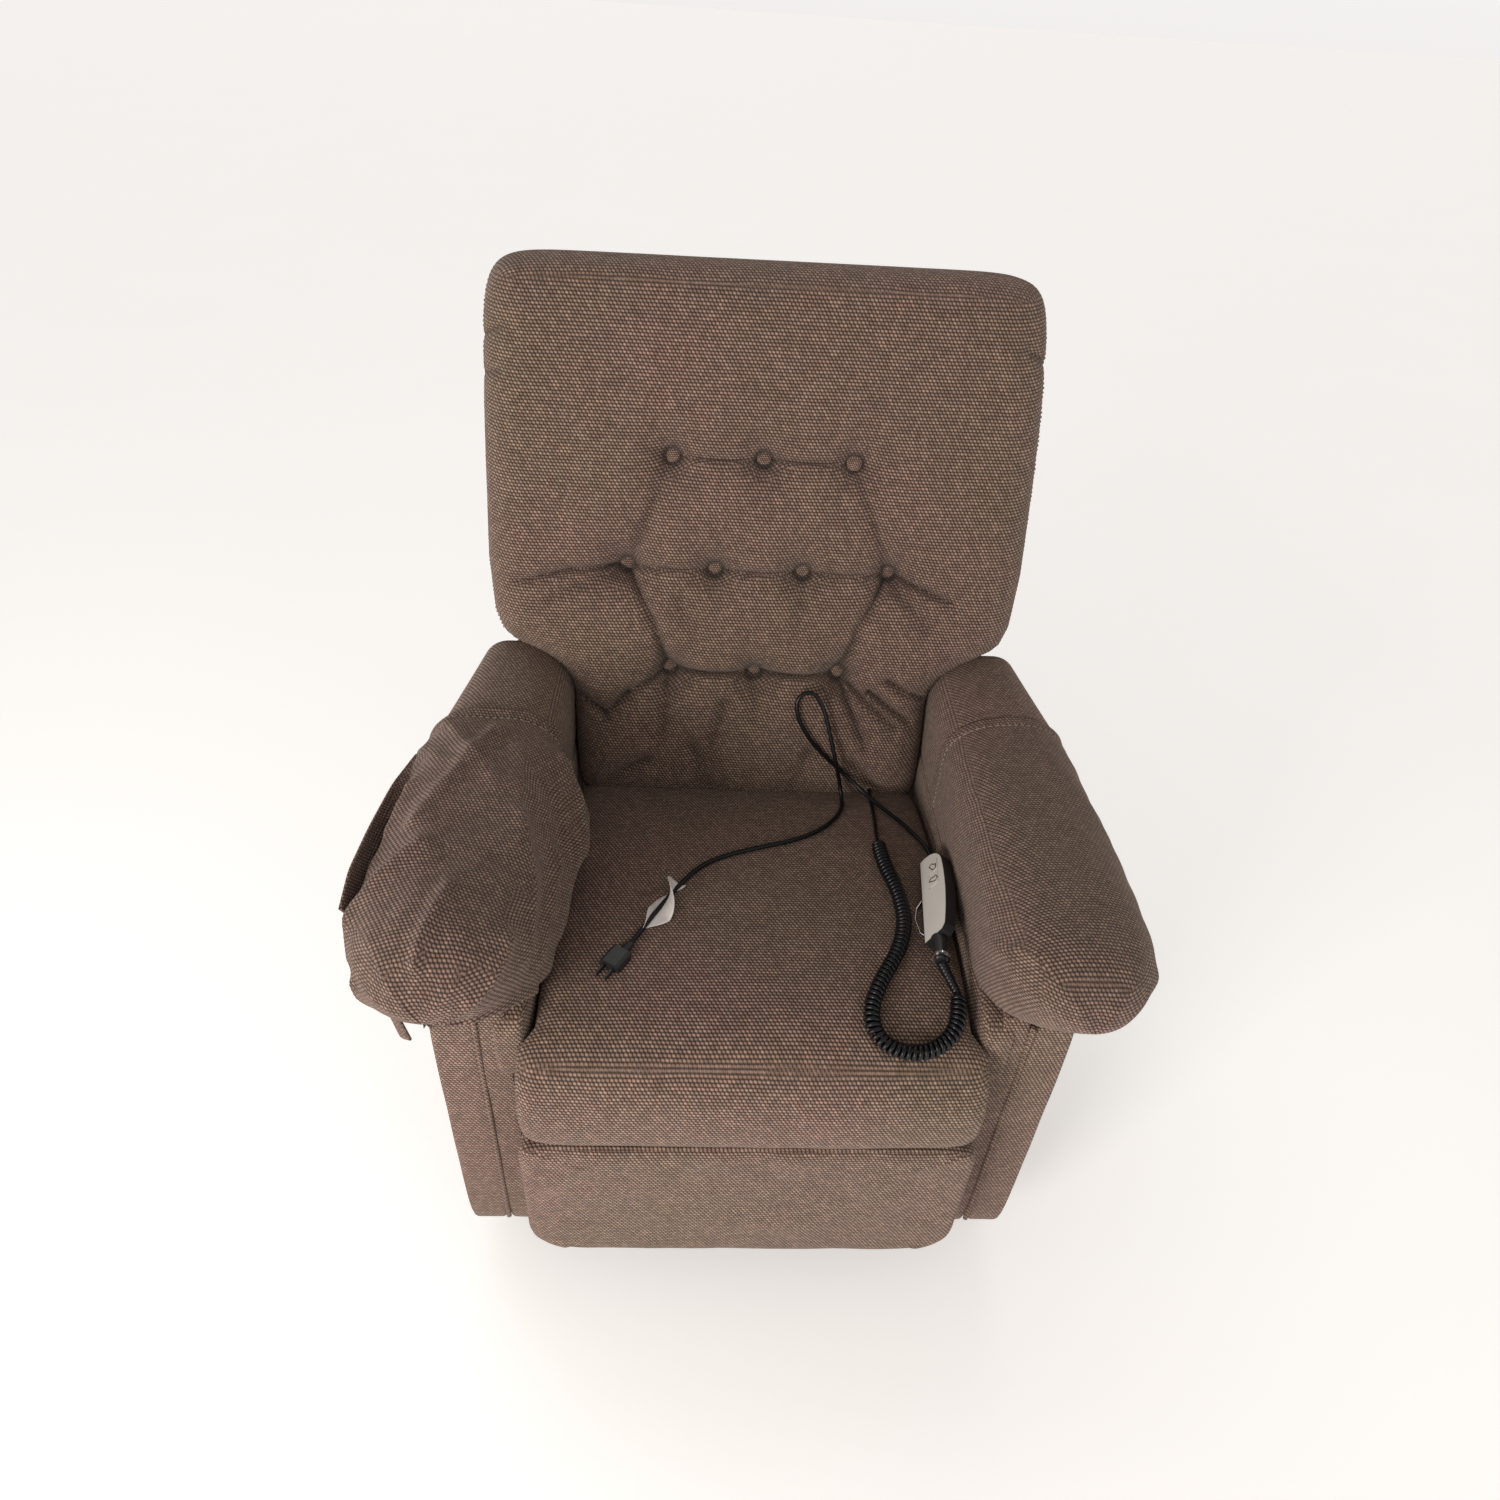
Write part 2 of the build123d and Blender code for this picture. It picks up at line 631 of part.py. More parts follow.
def back_brackets():
    """Steel brackets on the frame's stiles, with the eye that turns on the back pivot."""
    corners = [(-36, FRAME_REAR + 2), (90, FRAME_REAR + 2), (90, FRAME_FRONT - 2), (-10, FRAME_FRONT + 2)]
    face = make_face(Polyline(*[up_back(s, n)[1:] for s, n in corners], close=True))
    face = face + disc(BACK_PIVOT, 15) - disc(BACK_PIVOT, PIN_RADIUS + 1 + RUNNING)
    return both_sides(across(232.2, 237.2, face))


# ---------------------------------------------------------------- handset
HANDSET_LENGTH = 150.0
HANDSET_WIDTH = 46.0
HANDSET_DEPTH = 15.0
BUTTON_PLACES = (44.0, 20.0)
# Local X runs across the face (up the arm), local Y along the handset towards its top,
# and local Z out of the face.
HANDSET = Plane(origin=(223, -180, 521), x_dir=(0.50, 0.0, 0.866), z_dir=(-0.855, 0.14, 0.494))


def handset_outline(half, length, tail):
    """Face of the handset: one straight long edge, one bowed edge, narrower at the cord."""
    top = length / 2
    lines = [
        Line((-half, -top), (-half, top)),
        ThreePointArc((-half, top), (half * 0.35, top - 7), (half * 0.86, top - 26)),
        ThreePointArc((half * 0.86, top - 26), (half, 4), (half * 0.72, -top + tail)),
        Line((half * 0.72, -top + tail), (half * 0.45, -top)),
        Line((half * 0.45, -top), (-half, -top)),
    ]
    return make_face(lines)


def handset_body():
    shell = extrude(handset_outline(HANDSET_WIDTH / 2, HANDSET_LENGTH, 6), amount=-HANDSET_DEPTH)
    recess = handset_outline(HANDSET_WIDTH / 2 - 1.2, HANDSET_LENGTH - 2.4, 6)
    shell = shell - Pos(0, 0, -2.4) * extrude(recess, amount=4)
    for y in BUTTON_PLACES:
        shell = shell - Pos(2, y, -5) * Box(19, 21, 8)
    neck = Pos(-5, -HANDSET_LENGTH / 2 - 18, -8) * Rot(90, 0, 0) * Cone(10, 7, 38)
    return HANDSET * (shell + neck)


def handset_faceplate():
    plate = handset_outline(HANDSET_WIDTH / 2 - 1.4, HANDSET_LENGTH - 2.8, 6)
    face = extrude(Pos(0, 0, -2.2) * plate, amount=2.2)
    for y in BUTTON_PLACES:
        face = face - Pos(2, y, 0) * Box(18, 20, 8)
    return HANDSET * face


def handset_button(y):
    cap = Pos(2, y, -1.6) * Box(17.2, 19.2, 4.4)
    return HANDSET * fillet(cap.edges().filter_by(Axis.Z), 2.5)


def handset_hook():
    """Wire loop beside the handset's lower edge, for hanging it up."""
    points = [(215, -170, 493), (206, -182, 490), (201.5, -200, 489.5), (205, -222, 490), (214, -234, 493)]
    path = FilletPolyline(*points, radius=7)
    start = Plane(origin=path @ 0, z_dir=path % 0)
    return sweep(start * Circle(1.8), path=path)


def handset_ring():
    """Metal ring round the neck of the handset."""
    place = Pos(-5, -HANDSET_LENGTH / 2 - 31, -8) * Rot(90, 0, 0)
    return HANDSET * place * (Cylinder(11.2, 3) - Cylinder(8.4, 5))


# ---------------------------------------------------------------- cords
MAINS_ROUTE = [
    (245, -84, 447), (245.5, -83, 466), (243, -74, 486), (224, -36, 486), (198, 14, 478), (172, 52, 474),
    (150, 70, 488), (124, 78, 508), (98, 80, 534), (76, 82, 562), (62, 88, 590), (60, 95, 612), (74, 99, 624),
    (90, 97, 618), (102, 88, 594), (112, 76, 560), (122, 64, 524), (130, 62, 492), (134, 54, 472),
    (134, 34, 471),
    (124, 4, 478), (98, -32, 484), (58, -58, 487), (12, -74, 489), (-34, -92, 490), (-68, -114, 491),
    (-92, -148, 492), (-112, -182, 493), (-131, -218, 494), (-148, -250, 494),
]
LEAD_ROUTE = [
    (178, 107, 447), (178, 104, 457), (178, 90, 464), (178, 62, 464), (177, 30, 470), (176, -2, 477),
    (173, -34, 482), (172, -62, 489),
]
COIL_ROUTE = [
    (172, -62, 489), (172, -88, 492), (176, -118, 495), (183, -150, 497), (186, -180, 498), (186, -208, 498),
    (180, -236, 498), (169, -262, 497), (154, -287, 496), (140, -312, 494), (131, -336, 490),
    (131, -358, 484), (142, -374, 478), (162, -383, 474), (186, -384, 474), (208, -376, 477),
    (224, -361, 483), (232, -340, 489), (234, -318, 493),
]


def mains_gland():
    """Strain relief in the gap beside the cushion, where the mains lead comes up."""
    return Pos(245, -84, 424) * (Cone(5.6, 4, 46))


def gland_bracket():
    return block(239, 251, -96, -72, 397, 401)


def lead_gland():
    return Pos(178, 107, 424) * Cone(5.6, 3.6, 46)


PLUG = Plane(origin=(-148, -250, 494), x_dir=(0.84, -0.54, 0), z_dir=(-0.54, -0.84, -0.04))


def mains_plug():
    """Flat-sided two-pin plug with a tapered neck."""
    neck = extrude(Circle(4.2), amount=18, taper=-8)
    body = extrude(Pos(0, 0, 16) * RectangleRounded(26, 17, 5), amount=26)
    return PLUG * (neck + body)


def plug_blades():
    blades = [Pos(x, 0, 50) * Box(1.6, 6.4, 16) for x in (-6.3, 6.3)]
    return group(*[PLUG * blade for blade in blades])


def handset_strain_relief():
    """Ribbed neck between the handset and its coil."""
    end = Vector(*COIL_ROUTE[-1])
    start = HANDSET.from_local_coords(Vector(-5, -HANDSET_LENGTH / 2 - 37, -8))
    path = Line(start, end)
    return sweep(Plane(origin=start, z_dir=path % 0) * Circle(5.5), path=path)


def main():
    os.makedirs("parts", exist_ok=True)
    save("base_side_rails", base_side_rails())
    save("base_cross_tubes", base_cross_tubes())
    save("rail_end_caps", rail_end_caps())
    save("floor_glides", floor_glides())
    save("base_pivot_brackets", base_pivot_brackets())
    save("actuator_base_bracket", actuator_base_bracket())
    save("base_pins", group(base_pivot_pins(), actuator_base_pin()))
    save("lift_arms", lift_arms())
    save("lift_torque_tube", group(lift_torque_tube(), lift_crank()))
    save("guide_links", guide_links())
    save("actuator_gear_housing", actuator_gear_housing())
    save("actuator_motor", actuator_motor())
    save("actuator_outer_tube", group(actuator_outer_tube(), actuator_end_cap()))
    save("actuator_rod", actuator_rod())
    save("actuator_rod_eye", actuator_rod_eye())
    save("carriage_plates", carriage_plates())
    save("carriage_pins", carriage_pins())
    save("carriage_cross_tubes", carriage_cross_tubes())
    save("mechanism_plates", mechanism_plates())
    save("seat_box_rails", group(seat_side_rails(), seat_cross_rails()))
    save("rail_screws", rail_screws())
    save("seat_springs", seat_springs())
    save("pivot_pins", pivot_pins())
    save("control_box", control_box())
    save("power_supply", power_supply())
    save("control_tray", control_tray())
    save("scissor_links_a", scissor_links_a())
    save("scissor_middle_pins", scissor_middle_pins())
    save("scissor_torque_tube", scissor_torque_tube())
    save("scissor_links_b", scissor_links_b())
    save("scissor_b_pins", group(slot_rollers(), board_pins()))
    save("footrest_brackets", footrest_brackets())
    save("footrest_board", footrest_board())
    save("footrest_cushion", footrest_cushion())
    save("seat_cushion", seat_cushion())
    arm_spacers = arm_spacer()
    save("arm_frames", group(both_sides(arm_frame()), arm_spacers))
    for side in ("right", "left"):
        save("arm_roll_" + side, on_side(arm_roll(), side))
        save("arm_cover_" + side, on_side(arm_cover(), side))
        save("arm_panel_" + side, on_side(group(*arm_panel()), side))
    save("front_posts", both_sides(front_post()))
    save("post_piping", both_sides(post_piping()))
    save("back_cushion", back_cushion())
    save("back_frame", back_frame())
    save("back_rear_cover", back_rear_cover())
    save("back_buttons", back_buttons())
    save("back_brackets", back_brackets())
    save("handset_body", handset_body())
    save("handset_faceplate", handset_faceplate())
    for name, y in zip(("up", "down"), BUTTON_PLACES):
        save("handset_button_" + name, handset_button(y))
    save("handset_hanger", group(handset_ring(), handset_hook()))
    save("mains_gland", group(mains_gland(), gland_bracket()))
    save("lead_gland", lead_gland())
    save("mains_cord", route_tube(MAINS_ROUTE, MAINS_DIAMETER))
    save("mains_plug", group(mains_plug(), plug_blades()))
    save("handset_lead", route_tube(LEAD_ROUTE, LEAD_DIAMETER))
    save("handset_coil", group(route_tube(COIL_ROUTE, COIL_DIAMETER), handset_strain_relief()))


main()
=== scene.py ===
"""Lift recliner chair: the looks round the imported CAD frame."""
import json
import math

import bpy
import numpy as np
from mathutils import Matrix, Vector, noise


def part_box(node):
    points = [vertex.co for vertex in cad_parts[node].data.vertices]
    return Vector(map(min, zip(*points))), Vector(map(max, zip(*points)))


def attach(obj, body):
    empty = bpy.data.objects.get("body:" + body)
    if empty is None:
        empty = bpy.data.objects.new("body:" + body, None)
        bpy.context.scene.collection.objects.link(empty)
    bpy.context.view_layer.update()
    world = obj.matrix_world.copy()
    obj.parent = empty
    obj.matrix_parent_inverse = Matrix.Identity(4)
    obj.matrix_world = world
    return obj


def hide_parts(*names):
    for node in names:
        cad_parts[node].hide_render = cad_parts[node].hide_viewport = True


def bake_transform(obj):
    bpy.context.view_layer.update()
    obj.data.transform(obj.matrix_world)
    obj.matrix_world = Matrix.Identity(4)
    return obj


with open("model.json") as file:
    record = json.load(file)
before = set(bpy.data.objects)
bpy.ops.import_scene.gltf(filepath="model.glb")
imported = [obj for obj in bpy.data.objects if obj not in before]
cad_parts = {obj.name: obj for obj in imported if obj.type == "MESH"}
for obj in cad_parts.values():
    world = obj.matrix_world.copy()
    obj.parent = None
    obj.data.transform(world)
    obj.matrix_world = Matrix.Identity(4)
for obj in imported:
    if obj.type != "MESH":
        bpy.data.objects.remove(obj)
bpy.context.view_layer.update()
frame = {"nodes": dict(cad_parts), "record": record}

# ---------------------------------------------------------------- driving sizes, in metres
CREASE_Y = 0.110
CREASE_Z = 0.443
BACK_AXIS_Y = CREASE_Y + 0.0205
LEAN = math.radians(15.73)
WEAVE_PITCH = 0.0043
BUTTON_SPACING = 0.1184
BUTTON_ROWS = ((0.1824, 3), (0.3270, 4), (0.4722, 3))
MAINS_DIAMETER = 0.006
LEAD_DIAMETER = 0.0054
COIL_DIAMETER = 0.020
FRONT_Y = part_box("footrest_cushion")[0].y
PANEL_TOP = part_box("footrest_cushion")[1].z
PANEL_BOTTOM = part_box("footrest_cushion")[0].z
ARM_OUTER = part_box("arm_cover_right")[1].x
ARM_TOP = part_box("arm_cover_right")[1].z
SKIRT_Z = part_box("front_posts")[0].z
POST_FRONT_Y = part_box("front_posts")[0].y

MAINS_ROUTE = [
    (245, -84, 447), (245.5, -83, 466), (243, -74, 486), (224, -36, 486), (198, 14, 478), (172, 52, 474),
    (150, 70, 488), (124, 78, 508), (98, 80, 534), (76, 82, 562), (62, 88, 590), (60, 95, 612), (74, 99, 624),
    (90, 97, 618), (102, 88, 594), (112, 76, 560), (122, 64, 524), (130, 62, 492), (134, 54, 472), (134, 34, 471),
    (124, 4, 478), (98, -32, 484), (58, -58, 487), (12, -74, 489), (-34, -92, 490), (-68, -114, 491),
    (-92, -148, 492), (-112, -182, 493), (-131, -218, 494), (-148, -250, 494),
]
LEAD_ROUTE = [
    (178, 107, 447), (178, 104, 457), (178, 90, 464), (178, 62, 464), (177, 30, 470), (176, -2, 477),
    (173, -34, 482), (172, -62, 489),
]
COIL_ROUTE = [
    (172, -62, 489), (172, -88, 492), (176, -118, 495), (183, -150, 497), (186, -180, 498), (186, -208, 498),
    (180, -236, 498), (169, -262, 497), (154, -287, 496), (140, -312, 494), (131, -336, 490), (131, -358, 484),
    (142, -374, 478), (162, -383, 474), (186, -384, 474), (208, -376, 477), (224, -361, 483), (232, -340, 489),
    (234, -318, 493),
]


def metres(points):
    return [Vector(point) / 1000 for point in points]


# ---------------------------------------------------------------- node helpers
class Nodes:
    """Short names for building a shader node tree."""

    def __init__(self, tree):
        self.tree = tree

    def add(self, kind, **values):
        node = self.tree.nodes.new(kind)
        for key, value in values.items():
            setattr(node, key, value)
        return node

    def put(self, value, socket):
        if isinstance(value, bpy.types.NodeSocket):
            self.tree.links.new(value, socket)
        else:
            socket.default_value = value

    def math(self, operation, a, b=0.0, c=0.0, clamp=False):
        node = self.add("ShaderNodeMath", operation=operation, use_clamp=clamp)
        for value, socket in zip((a, b, c), node.inputs):
            self.put(value, socket)
        return node.outputs[0]

    def vector(self, operation, a, b=(0, 0, 0), scale=None):
        node = self.add("ShaderNodeVectorMath", operation=operation)
        self.put(a, node.inputs[0])
        self.put(b, node.inputs[1])
        if scale is not None:
            self.put(scale, node.inputs["Scale"])
        return node.outputs[0]

    def mix(self, factor, a, b, blend="MIX"):
        node = self.add("ShaderNodeMix", data_type="RGBA", blend_type=blend)
        self.put(factor, node.inputs["Factor"])
        self.put(a, node.inputs["A"])
        self.put(b, node.inputs["B"])
        return node.outputs["Result"]

    def noise(self, position, scale, detail=2.0, roughness=0.5):
        node = self.add("ShaderNodeTexNoise")
        self.put(position, node.inputs["Vector"])
        node.inputs["Scale"].default_value = scale
        node.inputs["Detail"].default_value = detail
        node.inputs["Roughness"].default_value = roughness
        return node.outputs["Fac"]

    def ramp(self, value, stops):
        node = self.add("ShaderNodeValToRGB")
        self.put(value, node.inputs[0])
        points = node.color_ramp.elements
        while len(points) < len(stops):
            points.new(0.5)
        for point, (place, colour) in zip(points, stops):
            point.position = place
            point.color = (*colour, 1.0)
        return node.outputs["Color"]


def new_material(name):
    """A material with a principled shader, and its node helper."""
    material = bpy.data.materials.new(name)
    material.use_nodes = True
    tree = material.node_tree
    shader = tree.nodes["Principled BSDF"]
    return material, Nodes(tree), shader


def weave_group():
    """A node group: height and a random value of the thread at a flat (u, v) place, in threads."""
    group = bpy.data.node_groups.new("hopsack weave", "ShaderNodeTree")
    group.interface.new_socket("Place", in_out="INPUT", socket_type="NodeSocketVector")
    group.interface.new_socket("Height", in_out="OUTPUT", socket_type="NodeSocketFloat")
    group.interface.new_socket("Thread", in_out="OUTPUT", socket_type="NodeSocketFloat")
    n = Nodes(group)
    source = n.add("NodeGroupInput").outputs["Place"]
    result = n.add("NodeGroupOutput")
    split = n.add("ShaderNodeSeparateXYZ")
    n.put(source, split.inputs[0])
    across, along = split.outputs[0], split.outputs[1]
    row = n.math("FLOOR", along)
    # Every other row of floats sits half a step over, like laid bricks.
    shifted = n.math("MULTIPLY_ADD", n.math("FLOORED_MODULO", row, 2.0), 0.5, across)
    column = n.math("FLOOR", shifted)
    inside_across = n.math("FRACT", shifted)
    slant = n.math("MULTIPLY", n.math("SUBTRACT", inside_across, 0.5), 0.30)
    inside_along = n.math("FRACT", n.math("ADD", n.math("FRACT", along), slant))
    dome = n.math("MULTIPLY", n.math("POWER", n.math("SINE", n.math("MULTIPLY", inside_across, math.pi)), 0.55),
                  n.math("POWER", n.math("SINE", n.math("MULTIPLY", inside_along, math.pi)), 0.75))
    cell = n.add("ShaderNodeCombineXYZ")
    n.put(column, cell.inputs[0])
    n.put(row, cell.inputs[1])
    scatter = n.add("ShaderNodeTexWhiteNoise", noise_dimensions="2D")
    n.put(cell.outputs[0], scatter.inputs["Vector"])
    n.put(dome, result.inputs["Height"])
    n.put(scatter.outputs["Value"], result.inputs["Thread"])
    return group


WEAVE = weave_group()


def woven(n, pitch):
    """Weave height and thread value on any surface: three flat weaves mixed by the surface's direction."""
    place = n.add("ShaderNodeTexCoord")
    axis = n.add("ShaderNodeSeparateXYZ")
    n.put(place.outputs["Object"], axis.inputs[0])
    sides = n.add("ShaderNodeSeparateXYZ")
    n.put(n.vector("ABSOLUTE", place.outputs["Normal"]), sides.inputs[0])
    weights = [n.math("POWER", sides.outputs[index], 14.0) for index in range(3)]
    total = n.math("ADD", n.math("ADD", weights[0], weights[1]), weights[2])
    height = 0.0
    thread = 0.0
    for index, (u, v) in enumerate(((1, 2), (0, 2), (0, 1))):
        flat = n.add("ShaderNodeCombineXYZ")
        n.put(n.math("DIVIDE", axis.outputs[u], pitch * 1.12), flat.inputs[0])
        n.put(n.math("DIVIDE", axis.outputs[v], pitch * 0.92), flat.inputs[1])
        pattern = n.add("ShaderNodeGroup", node_tree=WEAVE)
        n.put(flat.outputs[0], pattern.inputs["Place"])
        share = n.math("DIVIDE", weights[index], total)
        height = n.math("MULTIPLY_ADD", pattern.outputs["Height"], share, height)
        thread = n.math("MULTIPLY_ADD", pattern.outputs["Thread"], share, thread)
    return place.outputs["Object"], height, thread


def fabric(name, tint=(1.0, 1.0, 1.0), pitch=WEAVE_PITCH):
    """Taupe hopsack: pale floats over a darker ground, partly yarn colour and partly painted shade between the threads,
    drifting between rose and olive brown, with painted shade where the crease attribute is set.
    """
    material, n, shader = new_material(name)
    position, height, thread = woven(n, pitch)
    drift = n.ramp(n.noise(position, 4.0, 3.0), ((0.30, (0.206, 0.150, 0.107)), (0.50, (0.218, 0.150, 0.117)),
                                                (0.72, (0.234, 0.150, 0.125))))
    yarn = n.ramp(thread, ((0.0, (0.78, 0.77, 0.76)), (0.6, (1.0, 1.0, 1.0)), (1.0, (1.30, 1.28, 1.25))))
    body = n.mix(1.0, drift, yarn, "MULTIPLY")
    # Thread height: pale float crowns over a darker ground, partly yarn colour and partly painted shade in the gaps
    # between threads.
    shade_ramp = n.ramp(height, ((0.0, (0.13, 0.115, 0.11)), (0.42, (0.42, 0.39, 0.37)), (0.88, (1.42, 1.38, 1.34))))
    body = n.mix(1.0, body, shade_ramp, "MULTIPLY")
    fine = n.noise(position, 70.0, 4.0, 0.65)
    body = n.mix(1.0, body, n.ramp(fine, ((0.25, (0.84, 0.84, 0.84)), (0.75, (1.16, 1.16, 1.16)))), "MULTIPLY")
    body = n.mix(1.0, body, (*tint, 1.0), "MULTIPLY")
    # Painted shade: where the crease attribute is set, the colour is pulled towards near-black brown (0.016, 0.011,
    # 0.009).
    crease = n.add("ShaderNodeAttribute", attribute_name="crease").outputs["Fac"]
    body = n.mix(n.math("MULTIPLY", crease, 0.86), body, (0.016, 0.011, 0.009, 1.0))
    n.put(body, shader.inputs["Base Color"])
    shader.inputs["Roughness"].default_value = 0.92
    shader.inputs["Specular IOR Level"].default_value = 0.18
    shader.inputs["Sheen Weight"].default_value = 0.22
    shader.inputs["Sheen Roughness"].default_value = 0.55
    shader.inputs["Sheen Tint"].default_value = (0.80, 0.68, 0.62, 1.0)
    fuzz = n.math("MULTIPLY", n.noise(position, 900.0, 2.0), 0.30)
    bump = n.add("ShaderNodeBump")
    bump.inputs["Strength"].default_value = 0.9
    bump.inputs["Distance"].default_value = 0.0012
    n.put(n.math("ADD", height, fuzz), bump.inputs["Height"])
    n.put(bump.outputs[0], shader.inputs["Normal"])
    return material


def plain(name, colour, roughness, metallic=0.0, bump_scale=400.0, bump_depth=0.0002, vary=0.15, coat=0.0,
          specular=0.5):
    """A moulded, painted or metal surface with fine bump and slow changes of tone and gloss."""
    material, n, shader = new_material(name)
    position = n.add("ShaderNodeTexCoord").outputs["Object"]
    slow = n.noise(position, 18.0, 4.0)
    low = tuple(c * (1 - vary) for c in colour)
    high = tuple(c * (1 + vary) for c in colour)
    n.put(n.ramp(slow, ((0.3, low), (0.7, high))), shader.inputs["Base Color"])
    n.put(n.math("MULTIPLY_ADD", n.noise(position, 60.0, 3.0), 0.16, roughness - 0.08), shader.inputs["Roughness"])
    shader.inputs["Metallic"].default_value = metallic
    shader.inputs["Coat Weight"].default_value = coat
    shader.inputs["Specular IOR Level"].default_value = specular
    bump = n.add("ShaderNodeBump")
    bump.inputs["Strength"].default_value = 0.35
    bump.inputs["Distance"].default_value = bump_depth
    n.put(n.noise(position, bump_scale, 3.0), bump.inputs["Height"])
    n.put(bump.outputs[0], shader.inputs["Normal"])
    return material


def timber(name):
    """Sawn pine and plywood with stretched grain."""
    material, n, shader = new_material(name)
    position = n.add("ShaderNodeTexCoord").outputs["Object"]
    stretched = n.vector("MULTIPLY", position, (60.0, 4.0, 60.0))
    grain = n.noise(stretched, 2.2, 6.0, 0.62)
    colour = n.ramp(grain, ((0.30, (0.40, 0.25, 0.13)), (0.52, (0.58, 0.40, 0.23)), (0.72, (0.68, 0.50, 0.31))))
    n.put(colour, shader.inputs["Base Color"])
    shader.inputs["Roughness"].default_value = 0.7
    bump = n.add("ShaderNodeBump")
    bump.inputs["Strength"].default_value = 0.4
    bump.inputs["Distance"].default_value = 0.0005
    n.put(grain, bump.inputs["Height"])
    n.put(bump.outputs[0], shader.inputs["Normal"])
    return material


FABRIC = fabric("taupe basket weave")
FABRIC_COVER = fabric("arm cover weave", tint=(0.86, 0.86, 0.87), pitch=WEAVE_PITCH * 0.92)
FABRIC_BUTTON = fabric("button weave", tint=(1.12, 1.12, 1.12), pitch=WEAVE_PITCH * 0.62)
LINING = plain("black dust cloth", (0.018, 0.017, 0.017), 0.95, bump_scale=1600.0, bump_depth=0.0004)
STEEL = plain("black powder coat", (0.022, 0.022, 0.024), 0.42, 0.0, 900.0, 0.0002)
ZINC = plain("zinc plated steel", (0.56, 0.56, 0.55), 0.34, 1.0, 300.0, 0.0001)
CHROME = plain("bright wire", (0.75, 0.75, 0.76), 0.12, 1.0, 200.0, 0.00005, 0.05)
PLASTIC = plain("black moulded plastic", (0.016, 0.016, 0.017), 0.38, 0.0, 1200.0, 0.0001)
SHEATH = plain("black cord sheath", (0.005, 0.005, 0.006), 0.30, 0.0, 700.0, 0.00008, 0.2, 0.0, 0.30)
FACE = plain("pale faceplate", (0.62, 0.585, 0.53), 0.36, 0.0, 1500.0, 0.00006, 0.04)
BLACK_PRINT = plain("black print", (0.012, 0.012, 0.012), 0.5, 0.0, 900.0, 0.00003)
STITCH = plain("pale stitching thread", (0.36, 0.29, 0.24), 0.8, bump_scale=1500.0)
PAPER = plain("paper tag", (0.72, 0.66, 0.63), 0.75, 0.0, 350.0, 0.0002, 0.06)
TIMBER = timber("sawn timber")


# ---------------------------------------------------------------- mesh helpers
def add_mesh(name, points, faces, material, body, smooth=True):
    """A new piece that rides on a CAD body."""
    mesh = bpy.data.meshes.new(name)
    mesh.from_pydata([tuple(p) for p in points], [], [tuple(int(i) for i in f) for f in faces])
    mesh.validate()
    if smooth:
        mesh.shade_smooth()
    mesh.materials.append(material)
    piece = bpy.data.objects.new(name, mesh)
    bpy.context.scene.collection.objects.link(piece)
    if body:
        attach(piece, body)
    return piece


def modify(piece, kind, **values):
    """Adds a modifier and applies it."""
    modifier = piece.modifiers.new(kind, kind)
    for key, value in values.items():
        setattr(modifier, key, value)
    with bpy.context.temp_override(object=piece, active_object=piece, selected_objects=[piece]):
        bpy.ops.object.modifier_apply(modifier=modifier.name)


def cube_grid(nx, ny, nz):
    """Quads on the surface of a cube from -1 to 1: arrays of points and faces, corners shared."""
    index = {}
    points = []
    faces = []

    def vertex(i, j, k):
        key = (i, j, k)
        if key not in index:
            index[key] = len(points)
            points.append((2 * i / nx - 1, 2 * j / ny - 1, 2 * k / nz - 1))
        return index[key]

    for k, flip in ((0, True), (nz, False)):
        for i in range(nx):
            for j in range(ny):
                face = [vertex(i, j, k), vertex(i + 1, j, k), vertex(i + 1, j + 1, k), vertex(i, j + 1, k)]
                faces.append(face[::-1] if flip else face)
    for j, flip in ((0, False), (ny, True)):
        for i in range(nx):
            for k in range(nz):
                face = [vertex(i, j, k), vertex(i + 1, j, k), vertex(i + 1, j, k + 1), vertex(i, j, k + 1)]
                faces.append(face[::-1] if flip else face)
    for i, flip in ((0, True), (nx, False)):
        for j in range(ny):
            for k in range(nz):
                face = [vertex(i, j, k), vertex(i, j + 1, k), vertex(i, j + 1, k + 1), vertex(i, j, k + 1)]
                faces.append(face[::-1] if flip else face)
    return np.array(points), faces


def rounded(points, power):
    """Rounds a unit cube's edges: a high power keeps flatter faces."""
    size = (np.abs(points) ** power).sum(1) ** (1 / power)
    return points / size[:, None]


def bell(distance, width):
    return np.exp(-(distance / width) ** 2)


def from_segment(x, y, start, end):
    """Distance of (x, y) from a segment, and how far along it the nearest point is, from 0 to 1."""
    run = np.array(end) - np.array(start)
    share = ((x - start[0]) * run[0] + (y - start[1]) * run[1]) / (run @ run)
    share = np.clip(share, 0, 1)
    return np.hypot(x - start[0] - share * run[0], y - start[1] - share * run[1]), share


def soft_noise(points, scale, seed):
    """Smooth noise from -1 to 1 at each point."""
    shift = Vector((seed * 7.3, seed * 3.1, seed * 5.7))
    return np.array([noise.noise(Vector(p) * scale + shift) for p in points])


def curve_points(route, step=0.004):
    """Points along the smooth NURBS line of a route."""
    curve = bpy.data.curves.new("route", "CURVE")
    curve.dimensions = "3D"
    curve.resolution_u = 12
    spline = curve.splines.new("NURBS")
    spline.points.add(len(route) - 1)
    for point, place in zip(spline.points, route):
        point.co = (*place, 1.0)
    spline.order_u = 3
    spline.use_endpoint_u = True
    holder = bpy.data.objects.new("route", curve)
    bpy.context.scene.collection.objects.link(holder)
    line = bpy.data.meshes.new_from_object(holder)
    points = [vertex.co.copy() for vertex in line.vertices]
    bpy.data.objects.remove(holder)
    bpy.data.curves.remove(curve)
    return resample(points, step)


